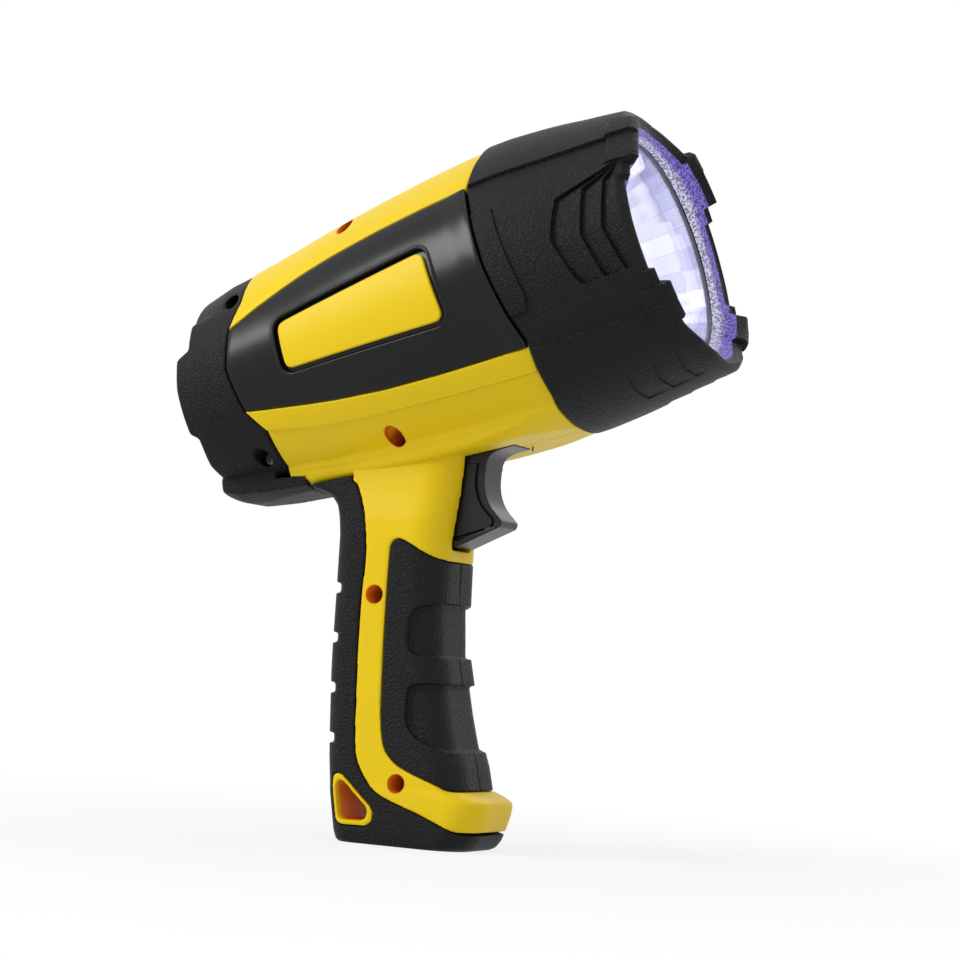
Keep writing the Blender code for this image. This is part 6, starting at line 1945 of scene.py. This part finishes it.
@dataclass
class SocketCover:
    """The hinged rubber cover over the charging socket, with a finger lip."""

    station: float = -166.4
    thickness: float = 2.0
    radius: float = 8.4
    height: float = -4.0
    hinge: Pair = (-167.9, 6.4)
    knuckle: float = 1.5
    tab_half: float = 4.0
    lip: Pair = (-11.0, -13.6)
    lip_half: float = 3.4

    def build(self, palette: Palette) -> None:
        """Model the cover with its knuckle and lip, and dress it."""
        near, far = self.station, self.station - self.thickness
        cover = spun("cover_flap", [(far, 0), (far, self.radius), (near, self.radius), (near, 0)], 64)
        set_corners(cover, corners(cover) + self.height * RISING)
        low, high = self.height, self.hinge[1]
        tab = side_view([(far, low), (near, low), (near, high), (far, high)])
        top, tip = self.lip
        lip = side_view([(far, top), (near, top), (near, tip), (far - 0.6, tip)])
        wide, narrow = self.tab_half, self.lip_half
        knuckle = post("knuckle", side_view([self.hinge])[0], self.knuckle, wide, -wide)
        tab_piece, lip_piece = slab("tab", tab, wide, -wide), slab("lip", lip, narrow, -narrow)
        fitted(cover, Fitting.ADD, tab_piece, lip_piece, knuckle)
        softened(cover, 0.3, 4)
        finished(cover, palette, "grip_rubber", "socket_cover", ["socket_cover"], 60)


def dress_frame(frame: dict, palette: Palette) -> None:
    """Give every CAD node that still shows the finish of its slot."""
    for row in frame["record"]["subparts"]:
        node = frame["nodes"][row["node"]]
        if not node.hide_render:
            node.data.materials.clear()
            node.data.materials.append(palette.of(row["material_slot"]))
            log.info("%s keeps its CAD shape", row["node"])


# Studio


@dataclass
class Studio:
    """A white room with a pale floor, soft lamps and the photograph's camera."""

    target: Triple = (0.01328, -0.00033, 0.12115)
    azimuth: float = 24.275
    elevation: float = -4.058
    roll: float = 4.035
    distance: float = 0.8582
    focal: float = 97.5
    lamps: tuple[tuple[str, float, float, float, float, float], ...] = (
        # name, azimuth, elevation, distance, size, power
        ("key", -47, 26, 1.3, 0.5, 8.0),
        ("top", -20, 62, 1.3, 1.0, 3.6),
        ("fill", 62, 22, 1.4, 1.2, 2.2),
        ("back", 160, 45, 1.4, 1.0, 5.0),
    )
    ambient: float = 0.38
    floor_colour: Triple = (0.8, 0.8, 0.8)
    floor_fade: Triple = (0.06, 0.34, 0.8)

    def frame_axes(self) -> tuple[Vector, Vector, Vector]:
        """The camera's right, up and back directions."""
        az, roll = math.radians(self.azimuth), math.radians(self.roll)
        back = self.away(self.azimuth, self.elevation)
        right = Vector((math.cos(az), math.sin(az), 0))
        up = back.cross(right)
        return (
            math.cos(roll) * right + math.sin(roll) * up,
            -math.sin(roll) * right + math.cos(roll) * up,
            back,
        )

    def camera(self) -> None:
        """The camera at the photograph's viewing angle."""
        right, up, back = self.frame_axes()
        data = bpy.data.cameras.new("camera")
        data.sensor_width = 36.0
        data.lens = self.focal
        data.clip_end = 50.0
        camera = bpy.data.objects.new("camera", data)
        bpy.context.scene.collection.objects.link(camera)
        turn = Matrix((right, up, back)).transposed().to_4x4()
        camera.matrix_world = Matrix.Translation(Vector(self.target) + back * self.distance) @ turn
        bpy.context.scene.camera = camera

    def seen(self, make: Maker) -> Socket:
        """One where a ray comes from the camera, a mirror or glass."""
        path = make.add("LightPath", {}).outputs
        total = path["Is Camera Ray"]
        for name in ("Is Glossy Ray", "Is Transmission Ray"):
            total = make.math("MAXIMUM", total, path[name])
        return total

    def world(self) -> None:
        """White where it is seen, and a soft light for the rest."""
        world = bpy.data.worlds.new("white_room")
        bpy.context.scene.world = world
        world.use_nodes = True
        make = Maker(world.node_tree)
        background = make.tree.nodes["Background"].inputs
        values = {"Value": self.seen(make), "To Min": self.ambient, "To Max": 1.0}
        make.feed(background["Color"], (1, 1, 1, 1))
        make.feed(background["Strength"], make.add("MapRange", values).outputs["Result"])

    def floor(self) -> None:
        """A pale floor that keeps the object's shadow."""
        deselect()
        bpy.ops.mesh.primitive_plane_add(size=12)
        floor = bpy.context.object
        floor.name = "floor"
        material = bpy.data.materials.new("pale_floor")
        material.use_nodes = True
        make = Dresser(material)
        make.feed(make.shader["Base Color"], (*self.floor_colour, 1))
        make.feed(make.shader["Roughness"], 0.9)
        make.feed(make.shader["Specular IOR Level"], 0.1)
        away = make.vector("LENGTH", make.place).outputs["Value"]
        bright = make.mapped(away, *self.floor_fade)
        share = make.math("MULTIPLY", self.seen(make), bright)
        glow = make.add("Emission", {}).outputs["Emission"]
        plain = make.tree.nodes["Principled BSDF"].outputs["BSDF"]
        mix = make.add("MixShader", {"Fac": share, 1: plain, 2: glow})
        make.feed(make.tree.nodes["Material Output"].inputs["Surface"], mix.outputs["Shader"])
        floor.data.materials.append(material)

    def away(self, azimuth: float, elevation: float) -> Vector:
        """The direction from the object to a viewer or a lamp."""
        az, el = math.radians(azimuth), math.radians(elevation)
        return Vector((math.sin(az) * math.cos(el), -math.cos(az) * math.cos(el), math.sin(el)))

    def lamp(
        self, name: str, azimuth: float, elevation: float, distance: float, size: float, power: float
    ) -> None:
        """A soft square lamp that faces the object."""
        away = self.away(azimuth, elevation)
        data = bpy.data.lights.new(name, "AREA")
        data.size = size
        data.energy = power
        lamp = bpy.data.objects.new(name, data)
        bpy.context.scene.collection.objects.link(lamp)
        lamp.location = Vector(self.target) + away * distance
        lamp.rotation_euler = away.to_track_quat("Z", "Y").to_euler()

    def build(self) -> None:
        """Set the camera, the room and the lamps."""
        self.camera()
        self.world()
        self.floor()
        for lamp in self.lamps:
            self.lamp(*lamp)
        bpy.context.scene.view_settings.view_transform = "Standard"


def main() -> None:
    """Build the object round its frame and set it in the studio."""
    logging.basicConfig(level=logging.INFO, format="%(name)s: %(message)s")
    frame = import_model()
    barrel, handle = Barrel(), Handle()
    casing, cap = Casing(barrel, handle), EndCap(barrel, handle)
    palette = Palette(casing.wells())
    Studio().build()
    casing.build(palette)
    SidePanels(barrel).build(palette)
    BezelGuard(barrel).build(palette)
    cap.build(palette)
    Grips(barrel, handle).build(palette)
    Trigger().build(palette)
    LampHead().build(palette)
    Screws(casing, cap).build(palette)
    SocketCover().build(palette)
    dress_frame(frame, palette)


if __name__ == "__main__":
    main()
